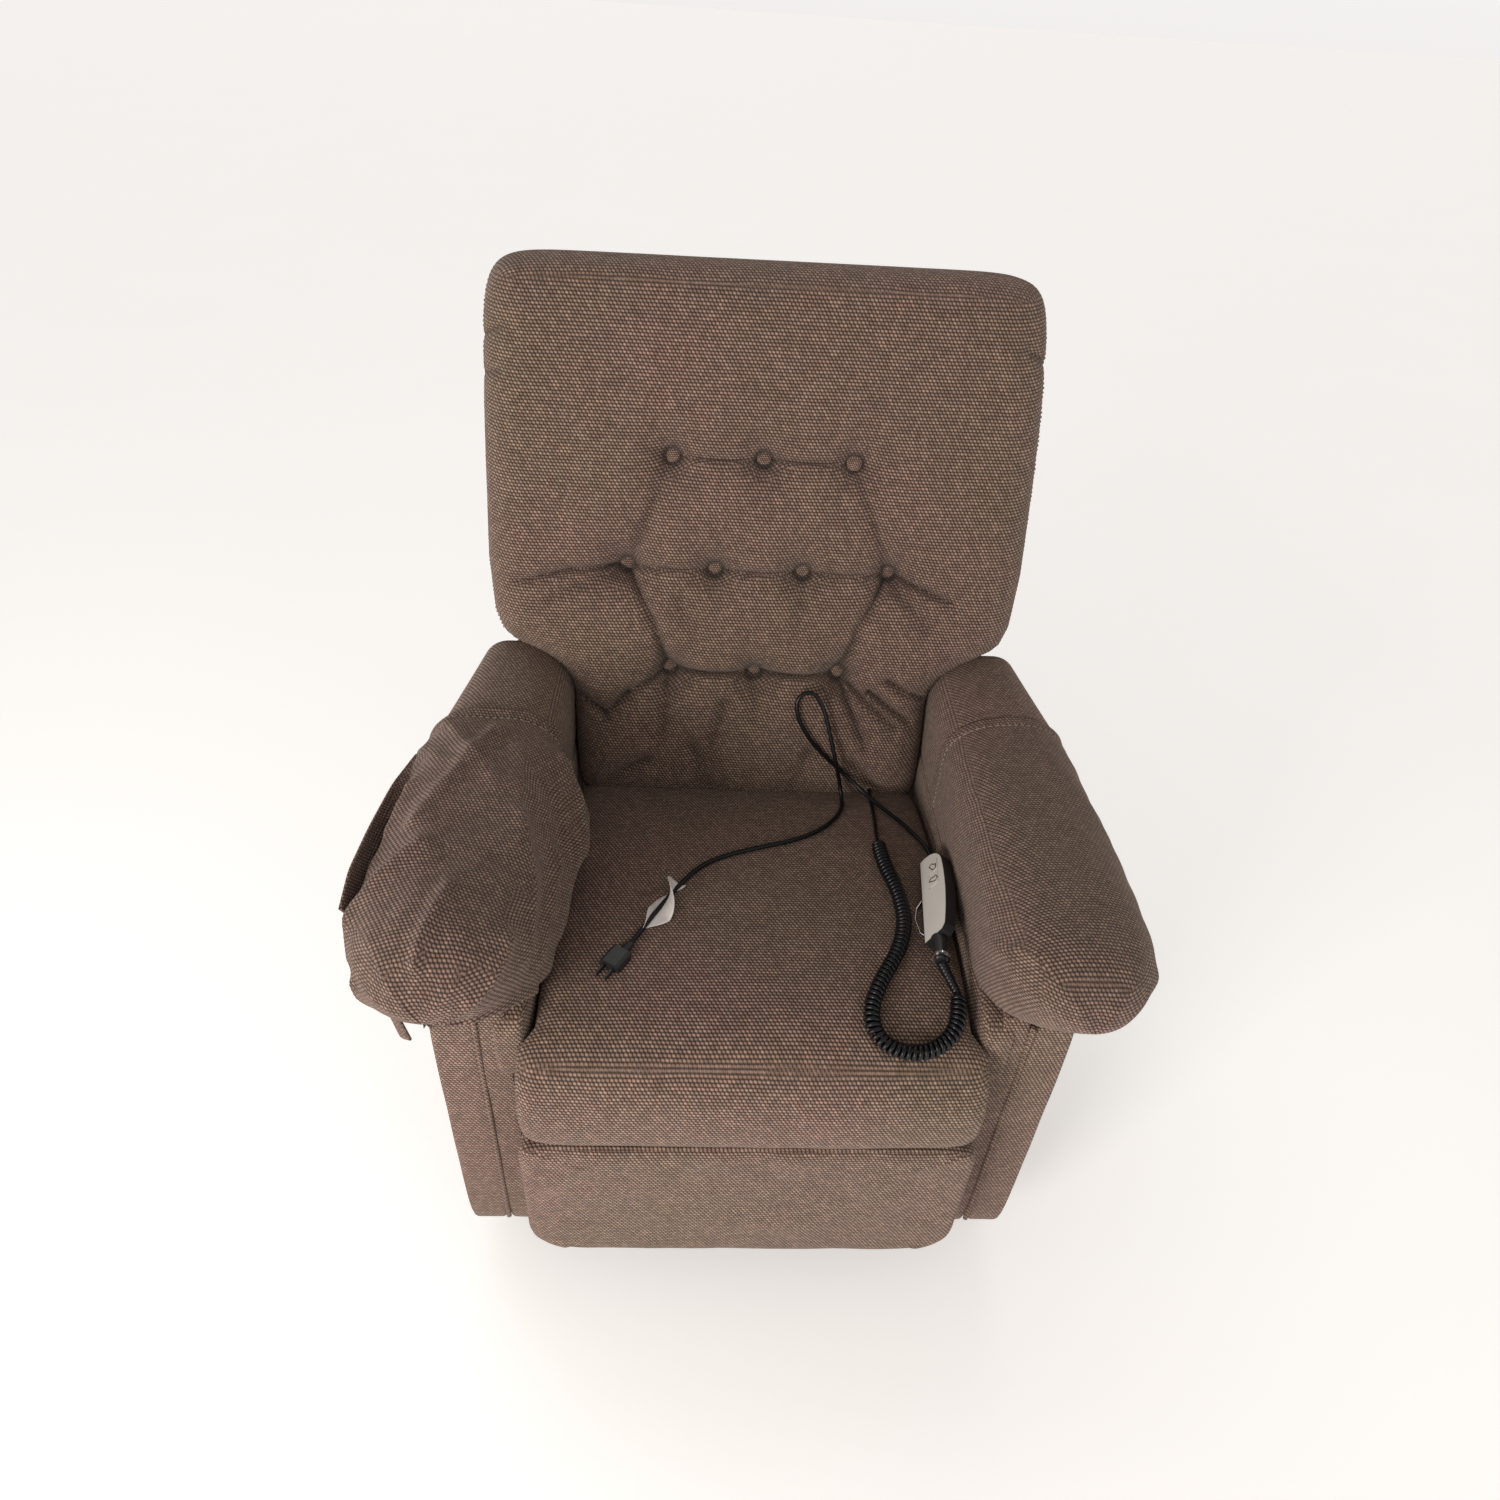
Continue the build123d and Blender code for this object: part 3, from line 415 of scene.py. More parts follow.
def resample(points, step):
    """The same line with even spacing."""
    places = np.array([tuple(p) for p in points])
    lengths = np.concatenate([[0], np.cumsum(np.linalg.norm(np.diff(places, axis=0), axis=1))])
    wanted = np.linspace(0, lengths[-1], max(2, int(round(lengths[-1] / step)) + 1))
    return np.stack([np.interp(wanted, lengths, places[:, axis]) for axis in range(3)], 1)


def frames_along(points):
    """Tangent, side and up directions that turn smoothly along a line."""
    tangents = np.gradient(points, axis=0)
    tangents /= np.linalg.norm(tangents, axis=1)[:, None]
    side = np.cross(tangents[0], (0, 0, 1))
    if np.linalg.norm(side) < 1e-3:
        side = np.array((1.0, 0, 0))
    sides = []
    for tangent in tangents:
        side = side - tangent * (side @ tangent)
        side = side / np.linalg.norm(side)
        sides.append(side)
    sides = np.array(sides)
    return tangents, sides, np.cross(sides, tangents)


def tube(name, points, radius, material, body, around=12, ends=True):
    """A round tube mesh along a line; radius is one number or one for each point."""
    points = np.array([tuple(p) for p in points])
    _, sides, ups = frames_along(points)
    radius = np.broadcast_to(radius, len(points))
    angles = np.linspace(0, 2 * math.pi, around, endpoint=False)
    rings = [p + r * (np.outer(np.cos(angles), s) + np.outer(np.sin(angles), u))
             for p, r, s, u in zip(points, radius, sides, ups)]
    places = np.concatenate(rings)
    faces = []
    for ring in range(len(points) - 1):
        for k in range(around):
            a = ring * around + k
            b = ring * around + (k + 1) % around
            faces.append((a, b, b + around, a + around))
    if ends:
        faces.append(tuple(range(around))[::-1])
        faces.append(tuple(range((len(points) - 1) * around, len(points) * around)))
    return add_mesh(name, places, faces, material, body)


# ---------------------------------------------------------------- the back
def on_back(x, s, n):
    """World places of points given across the back, up its length and out of its datum plane."""
    return np.stack([x, BACK_AXIS_Y + s * math.sin(LEAN) - n * math.cos(LEAN),
                     CREASE_Z + s * math.cos(LEAN) + n * math.sin(LEAN)], 1)


def button_places():
    return [((index - (count - 1) / 2) * BUTTON_SPACING, s) for s, count in BUTTON_ROWS for index in range(count)]


def tuft_folds():
    """Creases of the tufted back: (start, end, depth, width) in the back's plane."""
    folds = []
    crease_depth = (0.0105, 0.0070, 0.0062)
    for (s, count), depth in zip(BUTTON_ROWS, crease_depth):
        half = (count - 1) / 2 * BUTTON_SPACING
        for index in range(count - 1):
            start = -half + index * BUTTON_SPACING
            folds.append(((start, s), (start + BUTTON_SPACING, s), depth, 0.0050))
    low, middle, high = (row[0] for row in BUTTON_ROWS)
    for side in (-1, 1):
        outer = side * 1.5 * BUTTON_SPACING
        inner = side * BUTTON_SPACING
        folds.append(((inner, low), ((inner + outer) / 2 - side * 0.006, (low + middle) / 2 + 0.004), 0.0100, 0.0055))
        folds.append(((outer, middle), ((inner + outer) / 2 - side * 0.006, (low + middle) / 2 + 0.004), 0.0100, 0.0055))
        folds.append(((outer, middle), (inner, high), 0.0058, 0.0080))
    return folds + SIDE_FOLDS


def tuft_depth(x, s):
    """How far the cushion's face is pulled in at each place."""
    depth = tuft_creases(x, s)
    for bx, bs in button_places():
        r = np.hypot(x - bx, s - bs)
        depth += 0.0085 * bell(r, 0.044) + 0.0150 * bell(r, 0.0185)
    for start, end, fold, width in tuft_folds():
        distance, share = from_segment(x, s, start, end)
        depth += 0.32 * fold * (1.1 - 0.55 * share) * bell(distance, width * 5.0)
    return depth


def back_half_width(s):
    return np.interp(s, [-0.04, 0.135, 0.158, 0.178, 0.194, 0.206, 0.216, 0.228, 0.255, 0.33, 0.45, 0.60, 0.72],
                     [0.2545, 0.2545, 0.2600, 0.2740, 0.2960, 0.3200, 0.3390, 0.3510, 0.3610, 0.3675, 0.3665, 0.3610,
                      0.3540])


def back_face(s):
    return np.interp(s, [-0.04, -0.01, 0.02, 0.05, 0.10, 0.20, 0.33, 0.52, 0.62, 0.68, 0.73],
                     [0.046, 0.056, 0.065, 0.0705, 0.0740, 0.0765, 0.0775, 0.0760, 0.0710, 0.0630, 0.0550])


def back_cushion():
    """The tufted pillow, from below the seat's top to the head, wrapped round its frame."""
    u, v, w, ring, sideways, faces = pad_grid(250, 270, 14, 15.0)
    low, high = -0.035, 0.7085
    s = (low + high) / 2 + (high - low) / 2 * v
    x = u * (back_half_width(s) + 0.0025 * np.sin(13 * s + np.sign(u)))
    edge = np.where(w > 0, np.where(ring < 1, distance_to_line(x, s, back_outline(low, high)), 0), 1)
    rear = np.interp(s, [-0.035, 0.045], [-0.060, -0.1125])
    face = back_face(s) - 0.006 * (np.abs(x) / 0.36) ** 2
    full = np.where(w > 0, 0.30 + 0.70 * puff(edge, 0.062), 1.0)
    n = (rear + face) / 2 + w * full * (face - rear) / 2
    front = np.clip(w, 0, 1)
    ripple = 0.0024 * soft_noise(np.stack([x, s, w * 0], 1), 10.0, 1)
    ripple += 0.0011 * soft_noise(np.stack([x, s * 0.6, w * 0], 1), 27.0, 2)
    place = on_back(x, s, n + (ripple - tuft_depth(x, s)) * front)
    piece = add_mesh("back_pillow", place, faces, FABRIC, "back")
    # Painted shade: the creases and button hollows are stored on the pillow so the fabric's colour darkens there.
    shade(piece, tuft_shade(x, s) * front)
    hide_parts("back_cushion")


def surface_height(x, s):
    """Depth of the cushion's face at one place of the back."""
    x = np.array([x])
    s = np.array([s])
    return float((back_face(s) - 0.006 * (np.abs(x) / 0.36) ** 2 - tuft_depth(x, s))[0])


def covered_buttons():
    """Ten fabric-covered buttons sunk into the tufts."""
    points, faces = cube_grid(12, 12, 8)
    ball = rounded(points, 2.3)
    radius = 0.0102
    places = []
    quads = []
    for bx, bs in button_places():
        base = len(places)
        depth = surface_height(bx, bs) + 0.0060
        dome = on_back(bx + radius * ball[:, 0], bs + radius * ball[:, 1], depth + 0.6 * radius * ball[:, 2])
        places += [tuple(p) for p in dome]
        quads += [[i + base for i in face] for face in faces]
    piece = add_mesh("tuft_buttons", places, quads, FABRIC_BUTTON, "back")
    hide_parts("back_buttons")


def outside_back():
    """The flat outside back: fabric over board, with a welt round its edge."""
    u, v, w, ring, sideways, faces = pad_grid(60, 80, 4, 15.0)
    low, high = 0.030, 0.700
    s = (low + high) / 2 + (high - low) / 2 * v
    x = u * (back_half_width(s) - 0.010)
    n = -0.1145 + 0.0045 * w - 0.004 * puff((1 - ring) * 0.3, 0.1) * (w < 0)
    piece = add_mesh("outside_back_panel", on_back(x, s, n), faces, FABRIC, "back")
    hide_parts("back_rear_cover")
    angle = np.linspace(0, 2 * math.pi, 420)
    line = np.stack([np.cos(angle), np.sin(angle)], 1)
    line = line / ((np.abs(line) ** 15).sum(1) ** (1 / 15))[:, None]
    s = (low + high) / 2 + (high - low) / 2 * line[:, 1]
    welt = on_back(line[:, 0] * (back_half_width(s) - 0.006), s, np.full_like(s, -0.1135))
    tube("outside_back_welt", welt, 0.0032, FABRIC, "back", 8, False)


# ---------------------------------------------------------------- the seat
def seat_top(y):
    line = np.array(SEAT_LINE[4:])
    return np.interp(y, line[:, 0], line[:, 1])


def seat_cushion():
    """One long seat cushion with a waterfall front."""
    u, v, w, ring, sideways, faces = pad_grid(150, 200, 6, 22.0)
    line = seat_line(400)
    tangent = np.gradient(line, axis=0)
    tangent /= np.linalg.norm(tangent, axis=1)[:, None]
    share = (v + 1) / 2 * (len(line) - 1)
    steps = np.arange(len(line))
    y = np.interp(share, steps, line[:, 0])
    z = np.interp(share, steps, line[:, 1])
    inward_y = np.interp(share, steps, tangent[:, 1])
    inward_z = -np.interp(share, steps, tangent[:, 0])
    width = np.interp(y, [-0.425, -0.378, -0.352, 0.110], [0.2690, 0.2685, 0.2500, 0.2490])
    x = u * width
    edge = (1 - ring) * np.where(sideways, width, 0.35)
    thick = np.interp(v, [-1.0, -0.8, -0.4, 1.0], [0.036, 0.066, 0.078, 0.045])
    full = 0.35 + 0.65 * puff(edge, 0.034)
    lift = 0.003 * puff((1 - np.abs(u)) * 0.25, 0.20)
    sink = (1 - w) * thick / 2 + np.where(w > 0, (1 - full) * 0.022 * w - lift * w, 0)
    ripple = (0.0020 * soft_noise(np.stack([x, y, z], 1), 7.0, 4)
              + 0.0009 * soft_noise(np.stack([x, y, z], 1), 22.0, 8)) * (w > 0)
    place = np.stack([x, y + inward_y * (sink - ripple), z + inward_z * (sink - ripple)], 1)
    piece = add_mesh("seat_pad", place, faces, FABRIC, "chair")
    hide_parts("seat_cushion")


# ---------------------------------------------------------------- footrest
def footrest_pad():
    """The padded panel below the seat, its lower corners rounded."""
    u, v, w, ring, sideways, faces = pad_grid(150, 70, 6, 16.0)
    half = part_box("footrest_cushion")[1].x
    high = PANEL_TOP + 0.0035
    z = PANEL_BOTTOM + (high - PANEL_BOTTOM) * (v + 1) / 2
    corner = np.clip((PANEL_BOTTOM + 0.055 - z) / 0.055, 0, 1)
    x = u * (half - 0.038 * corner ** 2.4)
    edge = (1 - ring) * np.where(sideways, half, (high - PANEL_BOTTOM) / 2)
    front = FRONT_Y + 0.013
    back = FRONT_Y + 0.042
    middle = (front + back) / 2
    fullness = np.where(w > 0, 0.45 + 0.55 * puff(edge, 0.030), 1.0)
    y = middle - w * fullness * (back - front) / 2
    bulge = 0.004 * puff(edge, 0.12)
    ripple = 0.0034 * soft_noise(np.stack([x, y * 0, z], 1), 8.0, 9)
    ripple += 0.0020 * soft_noise(np.stack([x, y * 0, z], 1), 21.0, 10)
    y = y + (ripple * puff(edge, 0.05) - bulge) * (w > 0)
    piece = add_mesh("footrest_pad", np.stack([x, y, z], 1), faces, FABRIC, "footrest")
    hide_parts("footrest_cushion")


# ---------------------------------------------------------------- arms
def arm_ring(angle, grow):
    """Section of the right arm roll at an angle round it: arrays of x and z."""
    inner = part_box("arm_roll_right")[0].x - grow
    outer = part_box("arm_roll_right")[1].x + grow
    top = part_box("arm_roll_right")[1].z + grow
    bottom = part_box("arm_roll_right")[0].z - grow
    middle_x = (inner + outer) / 2
    middle_z = 0.572
    c = np.cos(angle)
    s = np.sin(angle)
    power = np.where(c < 0, np.where(s < 0, 7.0, 2.7), np.where(s < 0, 2.1, 2.2))
    size = (np.abs(c) ** power + np.abs(s) ** power) ** (-1 / power)
    half_z = np.where(s > 0, top - middle_z, middle_z - bottom)
    return middle_x + c * size * (outer - inner) / 2, middle_z + s * size * half_z


def arm_taper(y):
    """How far the outer side has drawn in at each place along the arm."""
    return np.interp(y, [-0.43, -0.28, -0.08, 0.02, 0.17], [0.004, 0.0, 0.004, 0.012, 0.040])


def arm_surface(rows, around, front, rear, grow, end_power=2.6):
    """Grid of the roll's skin, rows from the front tip to the rear."""
    angles = np.linspace(0, 2 * math.pi, around, endpoint=False)
    ring_x, ring_z = arm_ring(angles, grow)
    middle = np.array((ring_x.mean(), 0.565))
    places = []
    for step in np.linspace(0, 1, rows):
        y = front + (rear - front) * step
        cap = np.clip((front + 0.085 - y) / 0.085, 0, 1)
        shrink = (1 - cap ** end_power) ** (1 / end_power)
        x = middle[0] + (ring_x - middle[0]) * shrink
        z = middle[1] + (ring_z - middle[1]) * shrink
        outside = np.clip((x - middle[0]) / 0.09, 0, 1)
        x = x - arm_taper(y) * outside
        places.append(np.stack([x, np.full_like(x, y), z], 1))
    return np.array(places)


def spaced_front(count_front, count_rest, front, rear):
    """Places along the arm, closer together round its front end."""
    quarter = front + 0.110 * (1 - np.cos(np.linspace(0, math.pi / 2, count_front)))
    rest = np.linspace(quarter[-1], rear, count_rest + 1)[1:]
    return np.concatenate([quarter, rest])


def arm_skin(front, rear, grow, around=96, count_front=22, count_rest=70):
    """The roll's skin as an array: row, place round, (x, y, z)."""
    angles = np.linspace(0, 2 * math.pi, around, endpoint=False)
    ring_x, ring_z = arm_ring(angles, grow)
    middle_x = (ring_x.max() + ring_x.min()) / 2
    rows = []
    for y in spaced_front(count_front, count_rest, front, rear):
        sideways = np.clip((front + 0.110 - y) / 0.110, 0, 1)
        upright = np.clip((front + 0.080 - y) / 0.080, 0, 1)
        narrow = max(1e-3, (1 - sideways ** 2.1) ** (1 / 2.1))
        low = max(1e-3, (1 - upright ** 2.5) ** (1 / 2.5))
        x = middle_x + (ring_x - middle_x) * narrow
        z = 0.575 + (ring_z - 0.575) * low
        corner = 0.030 * np.clip((ring_x - middle_x) / 0.09, 0, 1) * np.clip((0.56 - ring_z) / 0.08, 0, 1)
        lean = (front_lean(ring_z) + corner) * low * (rear - y) / (rear - front)
        place = y + lean
        x = x - arm_taper(place) * np.clip((x - middle_x) / 0.09, 0, 1)
        rows.append(np.stack([x, place, z], 1))
    return np.array(rows)


def grid_faces(rows, around, closed=True):
    faces = []
    for row in range(rows - 1):
        for k in range(around if closed else around - 1):
            a = row * around + k
            b = row * around + (k + 1) % around
            faces.append((a, a + around, b + around, b))
    return faces


def mirrored(places, side):
    if side == "left":
        places = places * np.array((-1, 1, 1))
    return places


def flipped(faces, side):
    return [face[::-1] for face in faces] if side == "left" else faces


def arm_roll(side):
    """The padded arm itself, seen behind its cover."""
    front, rear = -0.424, 0.165
    skin = arm_skin(front, rear, 0.0015)
    rows, around = skin.shape[:2]
    places = skin.reshape(-1, 3)
    end = np.array([[skin[-1, :, 0].mean(), rear + 0.012, 0.565]])
    faces = grid_faces(rows, around)
    last = (rows - 1) * around
    faces += [(last + k, rows * around, last + (k + 1) % around) for k in range(around)]
    places = mirrored(np.concatenate([places, end]), side)
    piece = add_mesh("arm_pad_" + side, places, flipped(faces, side), FABRIC, "chair")
    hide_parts("arm_roll_" + side)


def arm_cover_neat():
    """Right arm cover: a fitted cap with a stitched hem."""
    skin = arm_skin(-0.4300, 0.012, 0.0035, 128, 30, 90)
    rows, around = skin.shape[:2]
    places = skin.reshape(-1, 3)
    middle = np.array((0.342, 0, 0.56))
    out = places - middle
    out[:, 1] = 0
    out /= np.linalg.norm(out, axis=1)[:, None] + 1e-9
    front = np.clip((places[:, 1] + 0.43) / 0.05, 0, 1)
    ripple = 0.0026 * soft_noise(places * (1, 0.7, 1), 15.0, 3) + 0.0010 * soft_noise(places, 40.0, 5)
    seam = np.abs(places[:, 1] - places[:, 1].reshape(rows, around)[-1].repeat(1)[np.arange(len(places)) % around])
    hem = bell(seam, 0.006) * 0.0016 - bell(seam - 0.014, 0.0025) * 0.0018
    angle = np.degrees(np.arctan2(places[:, 2] - 0.56, places[:, 0] - 0.342))
    folds = np.zeros(len(places))
    for a0, y0, a1, y1, height, width in NEAT_FOLDS:
        distance, share = from_segment(angle / 620, places[:, 1], (a0 / 620, y0), (a1 / 620, y1))
        folds += height * bell(distance, width) * (1 - 0.5 * share)
    places = places + out * ((ripple + folds) * front + hem)[:, None]
    piece = add_mesh("arm_cover_fabric_right", places, grid_faces(rows, around), FABRIC_COVER, "chair")
    modify(piece, "SOLIDIFY", thickness=0.0022, offset=-1.0)
    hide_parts("arm_cover_right")
    stitches("hem_stitches_right", places.reshape(rows, around, 3), middle, 0.014)


def arm_cover_loose():
    """Left arm cover: baggy and rucked, with its hem pulled forward."""
    skin = arm_skin(-0.4300, -0.006, 0.0055, 200, 44, 150)
    rows, around = skin.shape[:2]
    places = skin.reshape(-1, 3)
    middle = np.array((0.342, 0, 0.56))
    out = places - middle
    out[:, 1] = np.clip(out[:, 1] + 0.36, -0.08, 0)
    out /= np.linalg.norm(out, axis=1)[:, None] + 1e-9
    angle = np.degrees(np.arctan2(places[:, 2] - 0.56, places[:, 0] - middle[0]))
    angle = np.where(angle < -90, angle + 360, angle)
    y = places[:, 1]
    folds = np.zeros(len(places))
    for a0, y0, a1, y1, height, width in LOOSE_FOLDS:
        distance, share = from_segment(angle / 620, y, (a0 / 620, y0), (a1 / 620, y1))
        folds += height * np.exp(-np.abs(distance / width) ** 1.5) * (1 - 0.4 * share)
    rumple = 0.0048 * soft_noise(places * (1, 0.8, 1), 13.0, 6) + 0.0026 * soft_noise(places, 34.0, 7)
    hem_y = skin[-1, np.arange(len(places)) % around, 1]
    seam = hem_y - y
    hem = bell(seam, 0.006) * 0.0022 - bell(seam - 0.014, 0.0025) * 0.0022
    push = np.clip(folds + rumple + 0.004 * bell(y + 0.20, 0.20), -0.002, 0.045) + hem
    raw = places + out * push[:, None]
    placed = mirrored(raw, "left")
    piece = add_mesh("arm_cover_fabric_left", placed, flipped(grid_faces(rows, around), "left"), FABRIC_COVER,
                     "chair")
    modify(piece, "SOLIDIFY", thickness=0.0025, offset=-1.0)
    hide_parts("arm_cover_left")
    stitches("hem_stitches_left", placed.reshape(rows, around, 3), np.array((-0.342, 0, 0.56)), 0.014)
    loose_flap()


LOOSE_FOLDS = [
    (62, -0.03, 112, -0.16, 0.010, 0.014), (100, -0.05, 66, -0.22, 0.013, 0.013), (30, -0.04, 80, -0.12, 0.006, 0.013),
    (150, -0.07, 182, -0.14, 0.022, 0.022), (182, -0.10, 205, -0.30, 0.032, 0.030), (168, -0.20, 190, -0.34, 0.014, 0.014),
    (20, -0.09, -15, -0.30, 0.013, 0.018), (128, -0.20, 165, -0.35, 0.011, 0.014), (75, -0.26, 12, -0.35, 0.011, 0.013),
    (48, -0.14, 30, -0.33, 0.009, 0.011), (100, -0.32, 88, -0.40, 0.012, 0.009), (140, -0.36, 150, -0.42, 0.011, 0.011),
    (118, -0.08, 132, -0.26, 0.008, 0.011), (-20, -0.32, -60, -0.38, 0.012, 0.012), (230, -0.30, 250, -0.36, 0.014, 0.012),
    (-45, -0.24, -30, -0.36, 0.010, 0.010), (205, -0.34, 190, -0.41, 0.012, 0.010), (10, -0.38, -30, -0.40, 0.008, 0.010),
]


def arm_sides():
    """Upholstered panels below each roll, with the inner faces beside the seat."""
    for side, sign in (("right", 1), ("left", -1)):
        points, faces = cube_grid(8, 90, 60)
        shape = rounded(points, 14.0)
        y = -0.0095 + 0.3125 * shape[:, 1]
        z = (SKIRT_Z + 0.489) / 2 + (0.489 - SKIRT_Z) / 2 * shape[:, 2]
        crown = 0.004 * (1 - shape[:, 1] ** 4) * (1 - shape[:, 2] ** 4) * (shape[:, 0] > 0)
        ripple = 0.0015 * soft_noise(np.stack([y, y * 0, z], 1), 7.0, 12) * (shape[:, 0] > 0)
        x = sign * (0.3345 + 0.0305 * shape[:, 0] + crown + ripple)
        outside = add_mesh("arm_outside_" + side, np.stack([x, y, z], 1), flipped(faces, side), FABRIC, "chair")
        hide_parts("arm_panel_" + side)
        soft_block("arm_inside_" + side, side, (sign * 0.278, -0.075, 0.437), (0.026, 0.290, 0.068))
        rear_top = 0.600
        soft_block("arm_rear_" + side, side, (sign * 0.310, 0.226, (0.470 + rear_top) / 2),
                   (0.054, 0.074, (rear_top - 0.470) / 2), slope=-0.28)


def front_posts():
    """Front posts: a padded outer strip and a narrower inner one, with a welt between them."""
    inner = 0.2775
    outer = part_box("front_posts")[1].x
    seam = 0.314
    for side, sign in (("right", 1), ("left", -1)):
        for name, low, high in (("inner", inner, seam), ("outer", seam, outer)):
            points, faces = cube_grid(14, 10, 110)
            shape = rounded(points, 9.0)
            x = (low + high) / 2 + (high - low) / 2 * shape[:, 0]
            y = POST_FRONT_Y + 0.019 + 0.019 * shape[:, 1]
            z = (SKIRT_Z + 0.500) / 2 + (0.500 - SKIRT_Z) / 2 * shape[:, 2]
            ripple = 0.0014 * soft_noise(np.stack([x, y, z], 1), 14.0, 15)
            places = np.stack([sign * x, y + ripple, z], 1)
            piece = add_mesh("post_" + name + "_" + side, places, flipped(faces, side), FABRIC, "chair")
            if name == "outer" and side == "right":
                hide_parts("front_posts")
        line = [(sign * seam, POST_FRONT_Y + 0.0012, z) for z in np.linspace(SKIRT_Z + 0.014, 0.490, 60)]
        welt = tube("post_welt_" + side, line, 0.0036, FABRIC, "chair", 8)
        if side == "right":
            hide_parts("post_piping")


# ---------------------------------------------------------------- cords and handset
def mains_lead():
    points = curve_points(metres(MAINS_ROUTE))
    piece = tube("mains_flex", points, MAINS_DIAMETER / 2, SHEATH, None, 12)
    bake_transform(piece)
    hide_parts("mains_cord")
    length = float(np.linalg.norm(np.diff(points, axis=0), axis=1).sum())
    tag = paper_tag(points)
    print("mains flex", round(length, 3))


def paper_tag(points):
    """A plain tag twisted round the lead near its plug."""
    line = points[-30:-6]
    tangents, sides, ups = frames_along(line)
    places = []
    count = len(line)
    for index, (p, s, u) in enumerate(zip(line, sides, ups)):
        share = index / (count - 1)
        turn = 0.5 + 4.6 * share
        direction = s * math.cos(turn) + u * math.sin(turn)
        width = 0.023 * math.sin(math.pi * min(1, share * 0.85 + 0.12)) ** 0.4
        for k in np.linspace(-0.5, 1, 9):
            curl = 0.004 * k * k
            places.append(p + direction * width * k + tangents[index] * 0.005 * k + u * (curl - 0.001))
    places = np.array(places)
    places[:, 2] = np.maximum(places[:, 2], seat_top(places[:, 1]) + 0.0045)
    piece = add_mesh("paper_tag", places, grid_faces(count, 9, False), PAPER, "chair")
    modify(piece, "SOLIDIFY", thickness=0.0004, offset=0.0)
    return piece


def coiled_lead():
    """The handset's lead: straight out of the crease, then wound like a spring to the handset."""
    straight = metres(LEAD_ROUTE)
    axis = curve_points(metres(COIL_ROUTE), 0.0006)
    _, sides, ups = frames_along(axis)
    radius = (COIL_DIAMETER - LEAD_DIAMETER) / 2
    pitch = 0.0063
    turns = 0.0006 * (len(axis) - 1) / pitch
    per_turn = 14
    count = int(turns * per_turn)
    helix = []
    for index in range(count + 1):
        share = index / count
        place = share * (len(axis) - 1)
        low = min(int(place), len(axis) - 2)
        blend = place - low
        centre = axis[low] * (1 - blend) + axis[low + 1] * blend
        angle = 2 * math.pi * turns * share + math.pi / 2
        grow = min(1.0, share * turns / 0.8, (1 - share) * turns / 0.8)
        r = radius * (1 + 0.03 * math.sin(7 * share * math.pi)) * grow
        helix.append(Vector(centre + r * (math.cos(angle) * sides[low] + math.sin(angle) * ups[low])))
    end = Vector(COIL_ROUTE[-1]) / 1000
    route = straight[:-1] + helix + [end + Vector((-0.0005, 0.004, 0.0012))]
    curve = bpy.data.curves.new("handset_flex", "CURVE")
    curve.dimensions = "3D"
    curve.resolution_u = 2
    curve.bevel_depth = LEAD_DIAMETER / 2
    curve.bevel_resolution = 3
    curve.use_fill_caps = True
    spline = curve.splines.new("NURBS")
    spline.points.add(len(route) - 1)
    for point, place in zip(spline.points, route):
        point.co = (*place, 1.0)
    spline.order_u = 3
    spline.use_endpoint_u = True
    curve.materials.append(SHEATH)
    piece = bpy.data.objects.new("handset_flex", curve)
    bpy.context.scene.collection.objects.link(piece)
    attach(piece, "chair")
    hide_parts("handset_lead", "handset_coil")
    length = sum((b - a).length for a, b in zip(route, route[1:]))
    print("handset flex", round(length, 3), "turns", round(turns, 1))
    strain_relief()


def strain_relief():
    """Ribbed tapered sleeve where the coil enters the handset's neck."""
    start = HANDSET_ORIGIN + HANDSET_TURN @ Vector((-0.005, -0.112, -0.008))
    end = Vector(COIL_ROUTE[-1]) / 1000
    count = 40
    line = [start.lerp(end, index / count) for index in range(count + 1)]
    radius = [0.0068 - 0.0022 * index / count - 0.0008 * (index % 4 == 0) for index in range(count + 1)]
    return tube("handset_sleeve", line, radius, SHEATH, "chair", 16)


HANDSET_ORIGIN = Vector((0.223, -0.180, 0.521))


def handset_turn():
    """Turns handset places into world places: X across the face, Y along it, Z out of it."""
    z = Vector((-0.855, 0.14, 0.494)).normalized()
    x = Vector((0.50, 0.0, 0.866))
    x = (x - z * x.dot(z)).normalized()
    y = z.cross(x)
    return Matrix((x, y, z)).transposed()


HANDSET_TURN = handset_turn()


def chair_icon(name, y_middle, tilt):
    """A bare outline of a bent chair, printed on a button."""
    outline = [(-0.0062, 0.0050), (-0.0008, 0.0069), (0.0034, 0.0018), (0.0066, 0.0008), (0.0059, -0.0060),
               (0.0008, -0.0064), (-0.0025, -0.0012), (-0.0062, 0.0050)]
    c, s = math.cos(tilt), math.sin(tilt)
    line = []
    for (x0, y0), (x1, y1) in zip(outline, outline[1:]):
        for share in np.linspace(0, 1, 6, endpoint=False):
            x = x0 + (x1 - x0) * share
            y = y0 + (y1 - y0) * share
            local = Vector((0.002 + x * c - y * s, y_middle + x * s + y * c, 0.0007))
            line.append(HANDSET_ORIGIN + HANDSET_TURN @ local)
    line.append(line[0])
    return tube(name, line, 0.0006, BLACK_PRINT, "button_up" if "up" in name else "button_down", 6)


def handset():
    for node in ("handset_faceplate", "handset_button_up", "handset_button_down"):
        finish(node, FACE)
    finish("handset_body", PLASTIC)
    finish("handset_hanger", CHROME)
    chair_icon("icon_up", 0.044, 0.0)
    chair_icon("icon_down", 0.020, 0.5)


def finish(node, material):
    """Gives a CAD node its material."""
    piece = frame["nodes"][node]
    piece.data.materials.clear()
    piece.data.materials.append(material)


